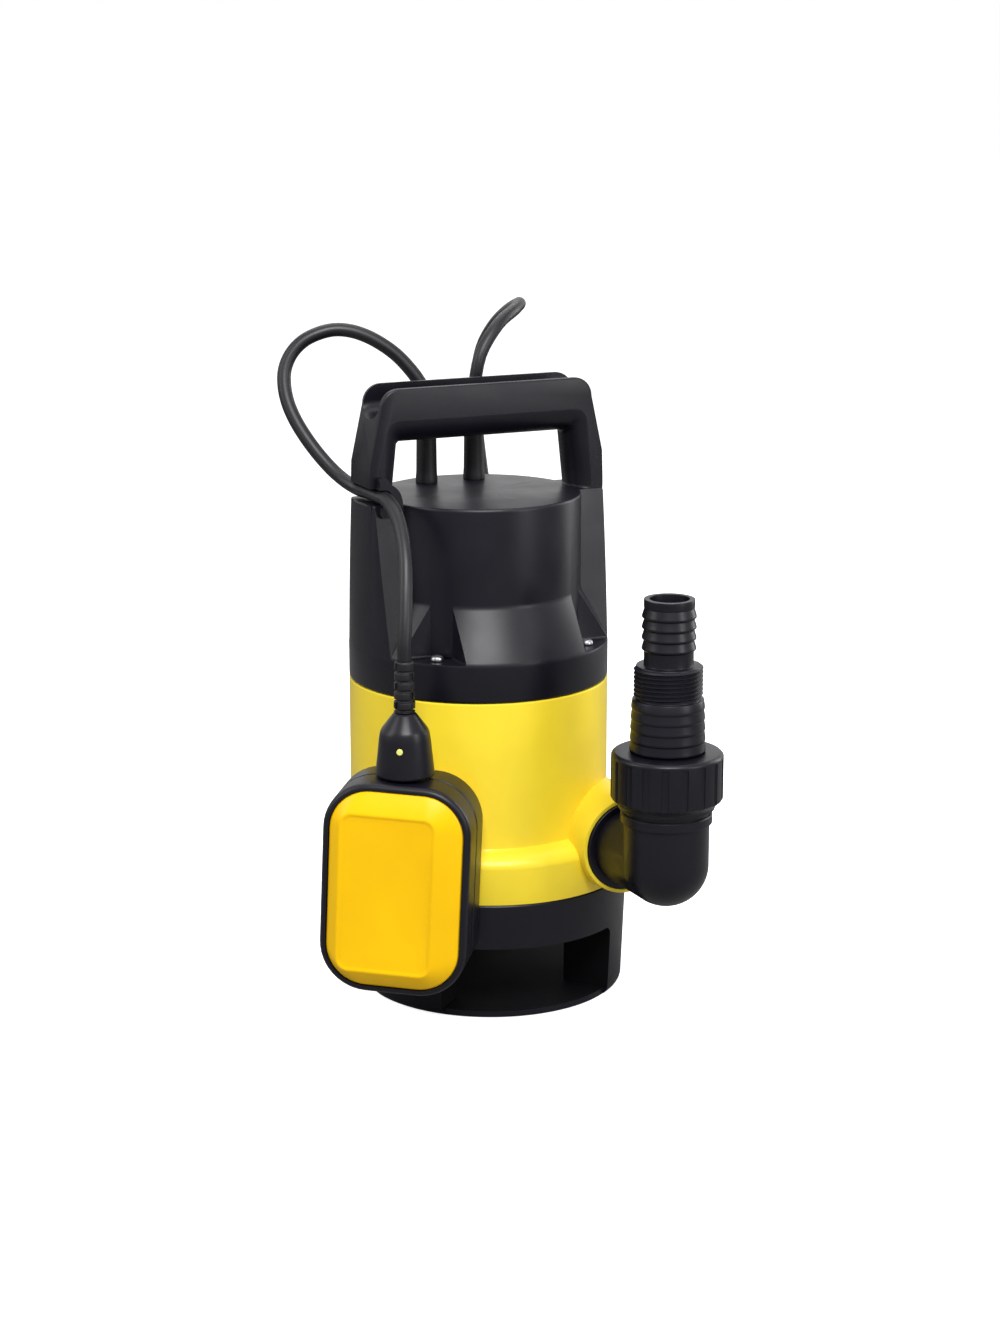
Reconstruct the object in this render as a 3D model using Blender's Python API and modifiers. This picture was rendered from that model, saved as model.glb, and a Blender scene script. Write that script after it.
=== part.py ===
"""Submersible sump pump with a float switch, a turning discharge elbow and a stepped hose adapter.

Units are metres and +Z is up. The origin is the motor's axis at the floor. The carrying handle runs
along X, the discharge leaves towards -Y and the cables leave the cover behind the handle.
"""

import math

import bmesh
import bpy
from mathutils import Matrix, Vector

MM = 0.001
GAP = 0.3 * MM
ROUND = 48
SMALL_ROUND = 12
OFF_STEP = math.radians(1.7)
HOLE_SIDES = 8
TURN = 2 * math.pi

# Housing, cover and base, by height above the floor
BODY_R = 69.3 * MM
PLATE_TOP = 3.6 * MM
WINDOW_TOP = 37.6 * MM
LEDGE_TOP = 54 * MM
BASE_TOP = 63.3 * MM
HOUSING_BOTTOM = 63.6 * MM
SCROLL_TOP = 92 * MM
CHAMBER_ROOF = 92 * MM
MOTOR_FLOOR = 106 * MM
HOUSING_TOP = 169.7 * MM
COVER_BOTTOM = 170 * MM
POCKET_FLOOR = 190 * MM
SKIRT_TOP = 217 * MM
WING_TOP = 268 * MM
CAP_TOP = 268.5 * MM
CAP_R = 54.6 * MM
CAP_BORE = 50.5 * MM
HANDLE_TOP = 327.5 * MM

# The base and the scroll above it are round, but their centre is off the motor's axis
SCROLL_AT = Vector((4.7 * MM, -5.6 * MM, 0))
SCROLL_FOOT_R = 71.2 * MM
SCROLL_DRAFT = 0.039

# Handle
HANDLE_HALF = 13.5 * MM
GRIP_UNDER = 298.5 * MM
TROUGH_HALF = 10.5 * MM
TROUGH_FLOOR = 312 * MM

# Discharge
OUTLET_X = 47.8 * MM
OUTLET_Z = 90 * MM
BOSS_FACE = -84 * MM
BOSS_R = 26 * MM
PASSAGE_R = 13.5 * MM
PIPE_Y = -125.5 * MM
PIPE_R = 22 * MM
PIPE_BORE = 17 * MM
KNEE_Z = 92.4 * MM
SPIGOT_R = 20 * MM
PIPE_TOP = 131 * MM
NUT_LOW = 122.5 * MM
NUT_TOP = 152 * MM
NUT_R = 28.6 * MM
ADAPTER_TOP = 231 * MM

# Float switch, which hangs from the clip in the handle's left leg
CLIP = Vector((-61.6 * MM, -13.5 * MM, 272.3 * MM))
FLOAT_AT = Vector((-72 * MM, -67.8 * MM, 81 * MM))
FLOAT_TURN = math.radians(-35)
FLOAT_LEAN = math.radians(2.5)
FLOAT_WIDE = 76.5 * MM
FLOAT_TALL = 111 * MM
FLOAT_THICK = 38 * MM
FLOAT_RIM = 3.4 * MM
FLOAT_TOP = 57 * MM
FLOAT_CORNER = 25 * MM
FLOAT_CABLE_R = 3.7 * MM

# Mains lead
MAINS_R = 3.5 * MM
SLEEVE_X = 14 * MM
SLEEVE_Y = 36 * MM
SLEEVE_TOP = 308 * MM
SLEEVE_R = 5.6 * MM
COIL_AT = Vector((66.8 * MM, 143.1 * MM, 0))
COIL_MEAN_R = 42 * MM
COIL_PITCH = 7.55 * MM
COIL_LAYERS = 4
COIL_TURNS = 4.25
COIL_LOOPS = 16.5
LOOP_POINTS = 24

COVER_SCREW_R = 61 * MM
BASE_SCREW_R = 58 * MM
LEG_ANGLES = [math.radians(a) for a in (85.3, 205.3, 325.3)]
WINDOW_ANGLES = [math.radians(a) for a in (25.3, 145.3, 265.3)]
WINDOW_HALF = math.radians(41.7)
TRIM_HALF = math.radians(41)

BLACK = ((0.018, 0.018, 0.021), 0.42, 0.0)
BLACK_RUBBER = ((0.012, 0.012, 0.014), 0.6, 0.0)
YELLOW = ((0.90, 0.62, 0.035), 0.38, 0.0)
FLOAT_YELLOW = ((0.96, 0.60, 0.01), 0.35, 0.0)
STEEL = ((0.62, 0.62, 0.63), 0.28, 1.0)
CORE_STEEL = ((0.30, 0.30, 0.32), 0.5, 1.0)
COPPER = ((0.72, 0.33, 0.14), 0.35, 1.0)
BRASS = ((0.78, 0.58, 0.24), 0.3, 1.0)
CREAM = ((0.75, 0.70, 0.55), 0.5, 0.0)


for old in list(bpy.data.objects):
    bpy.data.objects.remove(old, do_unlink=True)


def new_collection(name):
    made = bpy.data.collections.new(name)
    bpy.context.scene.collection.children.link(made)
    return made


PARTS = new_collection("submersible_sump_pump")
CUTTERS = new_collection("cutters")


# Making and finishing objects

def give_finish(obj, finish):
    """Move a finished piece among the parts, with a material of its own."""
    colour, roughness, metallic = finish
    material = bpy.data.materials.new(obj.name)
    material.use_nodes = True
    shader = material.node_tree.nodes["Principled BSDF"]
    shader.inputs["Base Color"].default_value = (*colour, 1)
    shader.inputs["Roughness"].default_value = roughness
    shader.inputs["Metallic"].default_value = metallic
    obj.data.materials.clear()
    obj.data.materials.append(material)
    CUTTERS.objects.unlink(obj)
    PARTS.objects.link(obj)
    obj.hide_render = False
    obj.display_type = "TEXTURED"
    return obj


def tool(name, data):
    """A new object starts as a tool: hidden, for cutting or joining."""
    obj = bpy.data.objects.new(name, data)
    CUTTERS.objects.link(obj)
    obj.hide_render = True
    obj.display_type = "WIRE"
    return obj


def face_out(bm):
    if bm.calc_volume(signed=True) < 0:
        bmesh.ops.reverse_faces(bm, faces=bm.faces)


def mesh_tool(name, bm, smooth=True):
    mesh = bpy.data.meshes.new(name)
    face_out(bm)
    bm.to_mesh(mesh)
    bm.free()
    if smooth:
        mesh.shade_smooth()
        mesh.set_sharp_from_angle(angle=math.radians(35))
    return tool(name, mesh)


def as_mesh(obj):
    """Replace an object by a mesh of its evaluated shape, with its caps welded on."""
    bpy.context.view_layer.update()
    graph = bpy.context.evaluated_depsgraph_get()
    mesh = bpy.data.meshes.new_from_object(obj.evaluated_get(graph))
    bm = bmesh.new()
    bm.from_mesh(mesh)
    bmesh.ops.remove_doubles(bm, verts=bm.verts, dist=0.002 * MM)
    bmesh.ops.dissolve_limit(bm, angle_limit=0.002, verts=bm.verts, edges=bm.edges)
    bmesh.ops.recalc_face_normals(bm, faces=bm.faces)
    face_out(bm)
    bm.to_mesh(mesh)
    bm.free()
    mesh.shade_smooth()
    mesh.set_sharp_from_angle(angle=math.radians(35))
    name = obj.name
    place = obj.matrix_world.copy()
    bpy.data.objects.remove(obj, do_unlink=True)
    made = tool(name, mesh)
    made.matrix_world = place
    return made


# Shapes

def turned(name, profile, sides=ROUND):
    """Turn (radius, height) points about Z. They run down the outer side; off the axis they close."""
    mesh = bpy.data.meshes.new(name)
    points = [(radius, 0, height) for radius, height in profile]
    edges = [(i, i + 1) for i in range(len(points) - 1)]
    if profile[0][0] > 0:
        edges.append((len(points) - 1, 0))
    mesh.from_pydata(points, edges, [])
    obj = tool(name, mesh)
    screw = obj.modifiers.new("turn", "SCREW")
    screw.steps = sides
    screw.render_steps = sides
    screw.use_merge_vertices = True
    screw.merge_threshold = 0.00001
    return obj


def in_mm(*pairs):
    return [(a * MM, b * MM) for a, b in pairs]


def rod(name, radius, start, end, sides=ROUND, end_radius=None):
    """A round bar, or a cone, between two points."""
    start = Vector(start)
    end = Vector(end)
    run = end - start
    bm = bmesh.new()
    bmesh.ops.create_cone(
        bm,
        cap_ends=True,
        segments=sides,
        radius1=radius,
        radius2=radius if end_radius is None else end_radius,
        depth=run.length,
    )
    turn = run.to_track_quat("Z", "Y").to_matrix().to_4x4()
    bm.transform(Matrix.Translation((start + end) / 2) @ turn)
    return mesh_tool(name, bm)


def ball(name, radius, centre, sides=24):
    bm = bmesh.new()
    bmesh.ops.create_uvsphere(bm, u_segments=sides, v_segments=sides // 2, radius=radius)
    bm.transform(Matrix.Translation(centre))
    return mesh_tool(name, bm)


def block(name, low, high):
    low = Vector(low)
    high = Vector(high)
    bm = bmesh.new()
    bmesh.ops.create_cube(bm, size=1)
    bm.transform(Matrix.Translation((low + high) / 2) @ Matrix.Diagonal((*(high - low), 1)))
    return mesh_tool(name, bm, smooth=False)


def prism(name, outline, low, high):
    """Extrude a flat outline of (x, y) points between two heights."""
    curve = bpy.data.curves.new(name, "CURVE")
    curve.dimensions = "2D"
    curve.fill_mode = "BOTH"
    curve.extrude = (high - low) / 2
    line = curve.splines.new("POLY")
    line.points.add(len(outline) - 1)
    for point, (x, y) in zip(line.points, outline):
        point.co = (x, y, 0, 1)
    line.use_cyclic_u = True
    obj = tool(name, curve)
    obj.location.z = (low + high) / 2
    return as_mesh(obj)


def standing(obj):
    """Turn a prism of (x, height) points upright, so that its thickness runs along Y."""
    obj.data.transform(Matrix.Rotation(math.pi / 2, 4, "X") @ obj.matrix_world)
    obj.matrix_world = Matrix.Identity(4)
    return obj


def loft(name, sections):
    """Join closed rings that have the same number of points, and cap the first and the last."""
    bm = bmesh.new()
    rings = [[bm.verts.new(point) for point in ring] for ring in sections]
    count = len(rings[0])
    for near, far in zip(rings, rings[1:]):
        for i in range(count):
            j = (i + 1) % count
            bm.faces.new((near[i], near[j], far[j], far[i]))
    bm.faces.new(reversed(rings[0]))
    bm.faces.new(rings[-1])
    return mesh_tool(name, bm)


def tube(name, points, radius, resolution=2):
    """A cable or pipe along a line of points, with closed ends."""
    curve = bpy.data.curves.new(name, "CURVE")
    curve.dimensions = "3D"
    curve.bevel_depth = radius
    curve.bevel_resolution = resolution
    curve.use_fill_caps = True
    line = curve.splines.new("POLY")
    line.points.add(len(points) - 1)
    for point, place in zip(line.points, points):
        point.co = (*place, 1)
    return tool(name, curve)


def rounded_rectangle(width, height, corner, steps=5):
    points = []
    for turn, (sx, sy) in enumerate(((1, 1), (-1, 1), (-1, -1), (1, -1))):
        for step in range(steps + 1):
            angle = (turn + step / steps) * math.pi / 2
            x = sx * (width / 2 - corner) + corner * math.cos(angle)
            y = sy * (height / 2 - corner) + corner * math.sin(angle)
            points.append((x, y))
    return points


def smooth_line(route, spacing):
    """A smooth curve through the route, evenly divided; its first and last pieces stay straight."""
    dense = []
    for a, b, c, d in zip(route, route[1:], route[2:], route[3:]):
        for step in range(24):
            t = step / 24
            dense.append(
                0.5 * ((2 * b) + (c - a) * t + (2 * a - 5 * b + 4 * c - d) * t**2
                       + (3 * b - a - 3 * c + d) * t**3)
            )
    dense.append(route[-2])
    along = [0.0]
    for a, b in zip(dense, dense[1:]):
        along.append(along[-1] + (b - a).length)
    count = round(along[-1] / spacing)
    points = [route[0]]
    k = 0
    for i in range(count + 1):
        want = along[-1] * i / count
        while k < len(along) - 2 and along[k + 1] < want:
            k += 1
        share = (want - along[k]) / (along[k + 1] - along[k])
        points.append(dense[k].lerp(dense[k + 1], min(1, share)))
    return [*points, route[-1]]


def length_of(points):
    return sum((b - a).length for a, b in zip(points, points[1:]))


# Joining and cutting

def combine(obj, other, operation):
    step = obj.modifiers.new(other.name, "BOOLEAN")
    step.operation = operation
    step.object = other
    step.solver = "EXACT"
    return obj


def cut(obj, *others):
    for other in others:
        combine(obj, other, "DIFFERENCE")


def join(obj, *others):
    for other in others:
        combine(obj, other, "UNION")


def round_edges(obj, chosen, width, segments=3):
    """Bevel the edges whose two ends both pass the test."""
    bm = bmesh.new()
    bm.from_mesh(obj.data)
    edges = [e for e in bm.edges if all(chosen(v.co) for v in e.verts)]
    bmesh.ops.bevel(
        bm, geom=edges, offset=width, segments=segments, profile=0.5, affect="EDGES",
        clamp_overlap=True,
    )
    bm.to_mesh(obj.data)
    bm.free()
    obj.data.shade_smooth()
    obj.data.set_sharp_from_angle(angle=math.radians(35))


def holes(name, radius, centres, low, high, sides=HOLE_SIDES):
    """Several upright drills in one cutter."""
    bm = bmesh.new()
    for x, y in centres:
        bmesh.ops.create_cone(
            bm,
            cap_ends=True,
            segments=sides,
            radius1=radius,
            radius2=radius,
            depth=high - low,
            matrix=Matrix.Translation((x, y, (low + high) / 2)),
        )
    return mesh_tool(name, bm)


def on_circle(radius, angles):
    return [(radius * math.cos(a), radius * math.sin(a)) for a in angles]


COVER_SCREWS = on_circle(COVER_SCREW_R, [math.radians(a) for a in (45, 135, 225, 315)])
BASE_SCREWS = on_circle(BASE_SCREW_R, LEG_ANGLES)


def volute_outline(small, growth, count=48):
    """A scroll: it grows clockwise, seen from above, from the tongue to the outlet."""
    tongue = math.radians(-75)
    open_share = 310 / 360
    points = []
    for i in range(count):
        angle = TURN * i / count
        share = ((tongue - angle) % TURN) / TURN
        if share < open_share:
            grown = share / open_share
        else:
            back = (1 - share) / (1 - open_share)
            grown = back * back * (3 - 2 * back)
        radius = small + growth * grown
        points.append((radius * math.cos(angle), radius * math.sin(angle)))
    return points


# Base: ring, three legs and bottom plate in one moulding

def scroll_r(height):
    return SCROLL_FOOT_R + SCROLL_DRAFT * height


def sector(name, angle, low, high, inner, half=WINDOW_HALF, steps=4):
    """A fan-shaped block about the base's centre."""
    spread = [angle - half + 2 * half * i / steps for i in range(steps + 1)]
    outer = 92 * MM
    outline = [(inner * math.cos(a), inner * math.sin(a)) for a in spread]
    outline += [(outer * math.cos(a), outer * math.sin(a)) for a in reversed(spread)]
    block_ = prism(name, outline, low, high)
    block_.data.transform(Matrix.Translation(SCROLL_AT) @ block_.matrix_world)
    block_.matrix_world = Matrix.Identity(4)
    return block_


def sector_window(name, angle):
    """A window's cutter, whose upper side edges are rounded."""
    window = sector(name, angle, PLATE_TOP, WINDOW_TOP, 40 * MM)
    side = math.cos(WINDOW_HALF) + 0.01

    def upper_side(point):
        flat = Vector((point.x - SCROLL_AT.x, point.y - SCROLL_AT.y, 0))
        facing = flat.normalized().dot(Vector((math.cos(angle), math.sin(angle), 0)))
        return point.z > WINDOW_TOP - 0.1 * MM and facing < side

    round_edges(window, upper_side, 5 * MM, 2)
    return window


def make_base():
    foot = scroll_r(0)
    base = turned(
        "strainer_base",
        [(0, BASE_TOP), (scroll_r(BASE_TOP), BASE_TOP), (foot, 2.6 * MM), (foot - 0.5 * MM, 0.6 * MM)]
        + [(foot - 1.5 * MM, 0), (0, 0)],
    )
    base.location = SCROLL_AT
    cut(base, rod("base_cavity", 52 * MM, (0, 0, PLATE_TOP), (0, 0, 58 * MM), 32))
    cut(base, rod("base_socket", 62.4 * MM, (0, 0, LEDGE_TOP), (0, 0, 66 * MM), 32))
    for i, angle in enumerate(WINDOW_ANGLES):
        trim_r = foot - 2.4 * MM
        trim = sector(f"plate_trim_{i}", angle, -1 * MM, PLATE_TOP + 1 * MM, trim_r, TRIM_HALF, 10)
        cut(base, sector_window(f"window_{i}", angle), trim)
    cut(base, holes("leg_recess", 4.5 * MM, BASE_SCREWS, -1 * MM, 44 * MM, SMALL_ROUND))
    cut(base, holes("leg_hole", 2.3 * MM, BASE_SCREWS, 43 * MM, 60 * MM))
    return give_finish(base, BLACK)


def make_suction_plate():
    plate = turned(
        "suction_plate",
        [(62 * MM, BASE_TOP), (62 * MM, LEDGE_TOP + GAP), (23.5 * MM, LEDGE_TOP + GAP)]
        + in_mm((23.5, 48), (20, 48), (20, 57.5), (53, 57.5))
        + [(53 * MM, BASE_TOP)],
        24,
    )
    cut(plate, holes("plate_hole", 2.3 * MM, BASE_SCREWS, 46 * MM, 66 * MM))
    return give_finish(plate, BLACK)


# Pump housing: motor chamber above, scroll chamber below, outlet boss at the front right

def make_housing():
    housing = turned(
        "pump_housing",
        [
            (0, HOUSING_TOP),
            (BODY_R - 0.5 * MM, HOUSING_TOP),
            (BODY_R, HOUSING_TOP - 0.5 * MM),
            (BODY_R, HOUSING_BOTTOM),
            (0, HOUSING_BOTTOM),
        ],
    )
    shoulder = scroll_r(SCROLL_TOP) - 6 * MM
    scroll = turned(
        "housing_scroll",
        [(0, SCROLL_TOP), (shoulder, SCROLL_TOP), (shoulder + 3 * MM, SCROLL_TOP - 0.8 * MM)]
        + [(shoulder + 5.2 * MM, SCROLL_TOP - 3 * MM), (shoulder + 5.8 * MM, SCROLL_TOP - 6 * MM)]
        + [(scroll_r(HOUSING_BOTTOM), HOUSING_BOTTOM), (0, HOUSING_BOTTOM)],
    )
    scroll.location = SCROLL_AT
    outlet = Vector((OUTLET_X, 0, OUTLET_Z))
    boss_start = outlet + Vector((0, -14 * MM, 0))
    boss_end = outlet + Vector((0, BOSS_FACE, 0))
    join(
        housing,
        scroll,
        ball("boss_root", BOSS_R - 0.2 * MM, boss_start, 20),
        rod("outlet_boss", BOSS_R, boss_start, boss_end, 28),
    )
    motor_bay = turned(
        "motor_bay",
        in_mm((0, 175), (66, 175), (66, 168), (57, 168), (57, 150), (65, 145))
        + [(65 * MM, MOTOR_FLOOR), (0, MOTOR_FLOOR)],
        24,
    )
    chamber = prism("scroll_chamber", volute_outline(45 * MM, 8.6 * MM, 24), 60 * MM, CHAMBER_ROOF)
    beyond = outlet + Vector((0, BOSS_FACE - 6 * MM, 0))
    cut(
        housing,
        motor_bay,
        chamber,
        ball("passage_end", PASSAGE_R - 0.1 * MM, outlet + Vector((0, -5 * MM, 0)), 12),
        rod("outlet_passage", PASSAGE_R, outlet + Vector((0, -5 * MM, 0)), beyond, 16),
        rod("spigot_bore", SPIGOT_R + GAP, outlet + Vector((0, -62 * MM, 0)), beyond, 20),
        rod("flange_recess", 24 * MM, outlet + Vector((0, -80 * MM, 0)), beyond, 32),
        rod("seal_seat", 9.3 * MM, (0, 0, 86 * MM), (0, 0, 100 * MM), 16),
        rod("bearing_seat", 13.3 * MM, (0, 0, 97 * MM), (0, 0, 112 * MM), 20),
        holes("cover_tap", 2.3 * MM, COVER_SCREWS, 151.5 * MM, 175 * MM),
        holes("base_tap", 2.3 * MM, BASE_SCREWS, 60 * MM, 75 * MM),
    )
    return give_finish(housing, YELLOW)


def make_cover_seal():
    seal = turned(
        "cover_seal",
        in_mm((65.7, 169.7), (65.7, 168.3), (57.4, 168.3), (57.4, 169.7)),
        24,
    )
    cut(seal, holes("seal_hole", 2.3 * MM, COVER_SCREWS, 165 * MM, 175 * MM))
    return give_finish(seal, BLACK_RUBBER)


# Cover: cap, sloped skirt, wings and the hollow-backed handle in one moulding

def bulge(y, half, depth):
    """How far a rolled edge has drawn back at y from the middle of its width."""
    share = min(1, abs(y) / half)
    return depth * (1 - math.sqrt(1 - share * share))


def opening_section(y):
    """Outline of the hand opening at depth y, drawn back towards both faces of the handle."""
    leg = bulge(y, HANDLE_HALF, 9.5 * MM)
    under = bulge(y, HANDLE_HALF, 13 * MM)
    low_half = 51.5 * MM + leg
    high_half = 48.5 * MM + leg
    top = GRIP_UNDER + under
    bend = 2.5 * MM + bulge(y, HANDLE_HALF, 5 * MM)
    foot = 2 * MM
    floor = CAP_TOP - 1 * MM
    half_line = [(low_half - foot, floor), (low_half - 0.6 * MM, floor + 0.6 * MM), (low_half, floor + foot)]
    for step in range(4):
        angle = math.pi / 6 * step
        half_line.append(
            (high_half - bend + bend * math.cos(angle), top - bend + bend * math.sin(angle))
        )
    return [(x, y, z) for x, z in half_line] + [(-x, y, z) for x, z in reversed(half_line)]


def trough_section(y):
    """Outline of the recess along the grip at depth y: it rolls over into the legs' outer sides."""
    floor = TROUGH_FLOOR + bulge(y, TROUGH_HALF, 7 * MM)
    roll = 10 * MM
    inner = []
    for step in range(4):
        angle = math.pi / 8 * step
        inner.append((57 * MM + roll * math.sin(angle), floor - roll * (1 - math.cos(angle))))
    inner.append((90 * MM, floor - roll))
    line = [(-x, z) for x, z in reversed(inner)] + inner
    return [(x, y, z) for x, z in line] + [(90 * MM, y, 345 * MM), (-90 * MM, y, 345 * MM)]


def depths(half):
    """Depths from face to face for a rolled cutter."""
    return [half * share for share in (-1, -0.8, 0, 0.8, 1)]


def make_handle():
    outline = in_mm((56, 250), (66.6, 264), (67.5, 272), (67, 288))
    outline += [
        ((50.5 + 10 * math.cos(a)) * MM, (317.5 + 10 * math.sin(a)) * MM)
        for a in (math.pi / 8 * step for step in range(5))
    ]
    outline += [(-x, z) for x, z in reversed(outline)]
    handle = standing(prism("handle", outline, -HANDLE_HALF, HANDLE_HALF))
    round_edges(
        handle,
        lambda p: abs(p.y) > HANDLE_HALF - 0.1 * MM and p.z > 271 * MM,
        0.9 * MM,
        1,
    )
    join(handle, make_guide())
    cut(
        handle,
        loft("hand_opening", [opening_section(d) for d in depths(HANDLE_HALF + 0.6 * MM)]),
        loft("handle_trough", [trough_section(d) for d in depths(TROUGH_HALF)]),
        clip_notch(),
    )
    return handle


def make_guide():
    """The curved foot of the left leg that the float's cable is held against."""
    outline = in_mm((-64, 283), (-60.5, 283), (-58.1, 279.6), (-55, 277.6), (-52.6, 274.6))
    outline += in_mm((-51.4, 270.5), (-50.8, 262), (-64, 262))
    return standing(prism("cable_guide", outline, 9 * MM, 19.4 * MM))


def clip_notch():
    """The open slot in the left leg that the float's cable is pressed into."""
    radius = 4.4 * MM
    outline = [(-90 * MM, CLIP.z + radius), (-90 * MM, CLIP.z - radius)]
    for step in range(9):
        angle = -math.pi / 2 + math.pi / 8 * step
        outline.append((CLIP.x + radius * math.cos(angle), CLIP.z + radius * math.sin(angle)))
    return standing(prism("clip_notch", outline, -24 * MM, 24 * MM))


def make_wings():
    """Both wings: a drum, slimmer at the top, of which a slab that widens downwards is kept."""
    wings = turned(
        "wings",
        [(0, WING_TOP), (67.2 * MM, WING_TOP), (67.9 * MM, WING_TOP - 0.7 * MM)]
        + [(69.2 * MM, POCKET_FLOOR - 2 * MM), (0, POCKET_FLOOR - 2 * MM)],
        ROUND,
    )
    slab = [(-30 * MM, POCKET_FLOOR - 8 * MM), (30 * MM, POCKET_FLOOR - 8 * MM)]
    slab += [(15.5 * MM, WING_TOP + 5 * MM), (-15.5 * MM, WING_TOP + 5 * MM)]
    wings.rotation_euler.z = OFF_STEP
    keep = standing(prism("wing_slab", slab, -80 * MM, 80 * MM))
    keep.data.transform(Matrix.Rotation(math.pi / 2, 4, "Z"))
    return combine(wings, keep, "INTERSECT")


def pocket(name, sx, sy):
    """The square recess that lets a screw in at a corner of the skirt, outside the cap."""
    inner = 34 * MM
    outer = 80 * MM
    xs = sorted((sx * inner, sx * outer))
    ys = sorted((sy * inner, sy * outer))
    recess = block(name, (xs[0], ys[0], POCKET_FLOOR), (xs[1], ys[1], 225 * MM))
    cut(recess, rod(f"{name}_core", CAP_R - 0.05 * MM, (0, 0, 180 * MM), (0, 0, 230 * MM)))
    return recess


def make_cover():
    cover = turned(
        "top_cover",
        [
            (0, CAP_TOP),
            (CAP_R - 2.2 * MM, CAP_TOP),
            (CAP_R - 0.6 * MM, CAP_TOP - 0.6 * MM),
            (CAP_R, CAP_TOP - 2.2 * MM),
            (CAP_R, SKIRT_TOP),
            (BODY_R, POCKET_FLOOR),
            (BODY_R, COVER_BOTTOM + 0.5 * MM),
            (BODY_R - 0.5 * MM, COVER_BOTTOM),
            (0, COVER_BOTTOM),
        ],
    )
    pockets = [
        pocket(f"pocket_{i}", sx, sy)
        for i, (sx, sy) in enumerate(((1, 1), (-1, 1), (-1, -1), (1, -1)))
    ]
    cut(cover, *pockets)
    join(cover, make_handle(), make_wings())
    hollow = turned(
        "cover_hollow",
        [
            (0, CAP_TOP - 4 * MM),
            (CAP_BORE, CAP_TOP - 4 * MM),
            (CAP_BORE, 204 * MM),
            (56 * MM, 186 * MM),
            (56 * MM, 160 * MM),
            (0, 160 * MM),
        ],
        28,
    )
    hollow.rotation_euler.z = 2 * OFF_STEP
    sleeve_places = [(-SLEEVE_X, SLEEVE_Y), (SLEEVE_X, SLEEVE_Y)]
    cut(
        cover,
        hollow,
        holes("sleeve_hole", SLEEVE_R + GAP, sleeve_places, 255 * MM, 275 * MM, SMALL_ROUND),
        holes("cover_hole", 2.3 * MM, COVER_SCREWS, 160 * MM, 195 * MM),
    )
    return give_finish(cover, BLACK)


def make_sleeve(name, x):
    """The moulded bush that a cable leaves the cap through, with a flange above and one below."""
    neck = SLEEVE_R
    sleeve = turned(
        name,
        [
            (0, SLEEVE_TOP),
            (neck - 0.9 * MM, SLEEVE_TOP),
            (neck - 0.4 * MM, SLEEVE_TOP - 2 * MM),
            (neck, 275 * MM),
            (neck + 0.9 * MM, 271 * MM),
            (neck + 0.9 * MM, CAP_TOP + GAP),
            (neck, CAP_TOP + GAP),
            (neck, CAP_TOP - 4.3 * MM),
            (neck + 1.2 * MM, CAP_TOP - 4.3 * MM),
            (neck + 1.2 * MM, 258 * MM),
            (0, 258 * MM),
        ],
        SMALL_ROUND,
    )
    sleeve.location = (x, SLEEVE_Y, 0)
    return give_finish(sleeve, BLACK_RUBBER)


# Fasteners

def make_cover_screw(name, place):
    screw = turned(
        name,
        in_mm((0, 193), (1.6, 193), (3.0, 192.3), (3.4, 191.2), (3.4, 190.3), (2, 190.3))
        + in_mm((2, 152), (0, 152)),
        SMALL_ROUND,
    )
    screw.location = (*place, 0)
    return give_finish(screw, STEEL)


def make_base_screw(name, place):
    screw = turned(
        name,
        in_mm((0, 73.5), (2, 73.5), (2, 43.7), (3.6, 43.7), (3.6, 41.6), (2.6, 40.6), (0, 40.6)),
        SMALL_ROUND,
    )
    screw.location = (*place, 0)
    return give_finish(screw, STEEL)


# Discharge: elbow, O-ring, union nut, gasket and hose adapter

def make_elbow():
    outlet = Vector((OUTLET_X, 0, OUTLET_Z))
    mouth = outlet + Vector((0, -62.4 * MM, 0))
    knee = Vector((OUTLET_X, PIPE_Y, KNEE_Z))
    level = Vector((OUTLET_X, PIPE_Y, OUTLET_Z))
    elbow = rod("discharge_elbow", PIPE_R, knee, (OUTLET_X, PIPE_Y, PIPE_TOP), 40)
    groove = turned(
        "ring_groove",
        in_mm((26, 70.4), (26, 66.6), (17.7, 66.6), (17.7, 70.4)),
        20,
    )
    groove.matrix_world = Matrix.Translation(outlet) @ Matrix.Rotation(math.pi / 2, 4, "X")
    join(
        elbow,
        ball("elbow_knee", PIPE_R + 0.1 * MM, knee, 40),
        rod("elbow_spigot", SPIGOT_R, mouth, level, 28),
        rod(
            "elbow_flange",
            23.6 * MM,
            outlet + Vector((0, -80.3 * MM, 0)),
            outlet + Vector((0, -85.2 * MM, 0)),
            28,
        ),
        rod(
            "elbow_collar",
            23.2 * MM,
            (OUTLET_X, PIPE_Y, 115 * MM),
            (OUTLET_X, PIPE_Y, 120 * MM),
            28,
        ),
    )
    cut(
        elbow,
        rod("elbow_bore", PIPE_BORE, level, (OUTLET_X, PIPE_Y, PIPE_TOP + 4 * MM), 24),
        ball("elbow_bore_knee", PIPE_BORE - 0.1 * MM, level, 24),
        rod("spigot_bore_inner", 14.5 * MM, outlet + Vector((0, -55 * MM, 0)), level, 16),
        groove,
    )
    return give_finish(elbow, BLACK)


def make_outlet_ring():
    """O-ring in the spigot's groove."""
    section = 1.0 * MM
    middle = 19 * MM
    profile = [
        (middle + section * math.sin(a), section * math.cos(a))
        for a in (TURN * step / 6 for step in range(6))
    ]
    ring = turned("outlet_o_ring", profile, 24)
    ring.matrix_world = Matrix.Translation((OUTLET_X, -68.5 * MM, OUTLET_Z)) @ Matrix.Rotation(
        math.pi / 2, 4, "X"
    )
    return give_finish(ring, BLACK_RUBBER)


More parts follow.
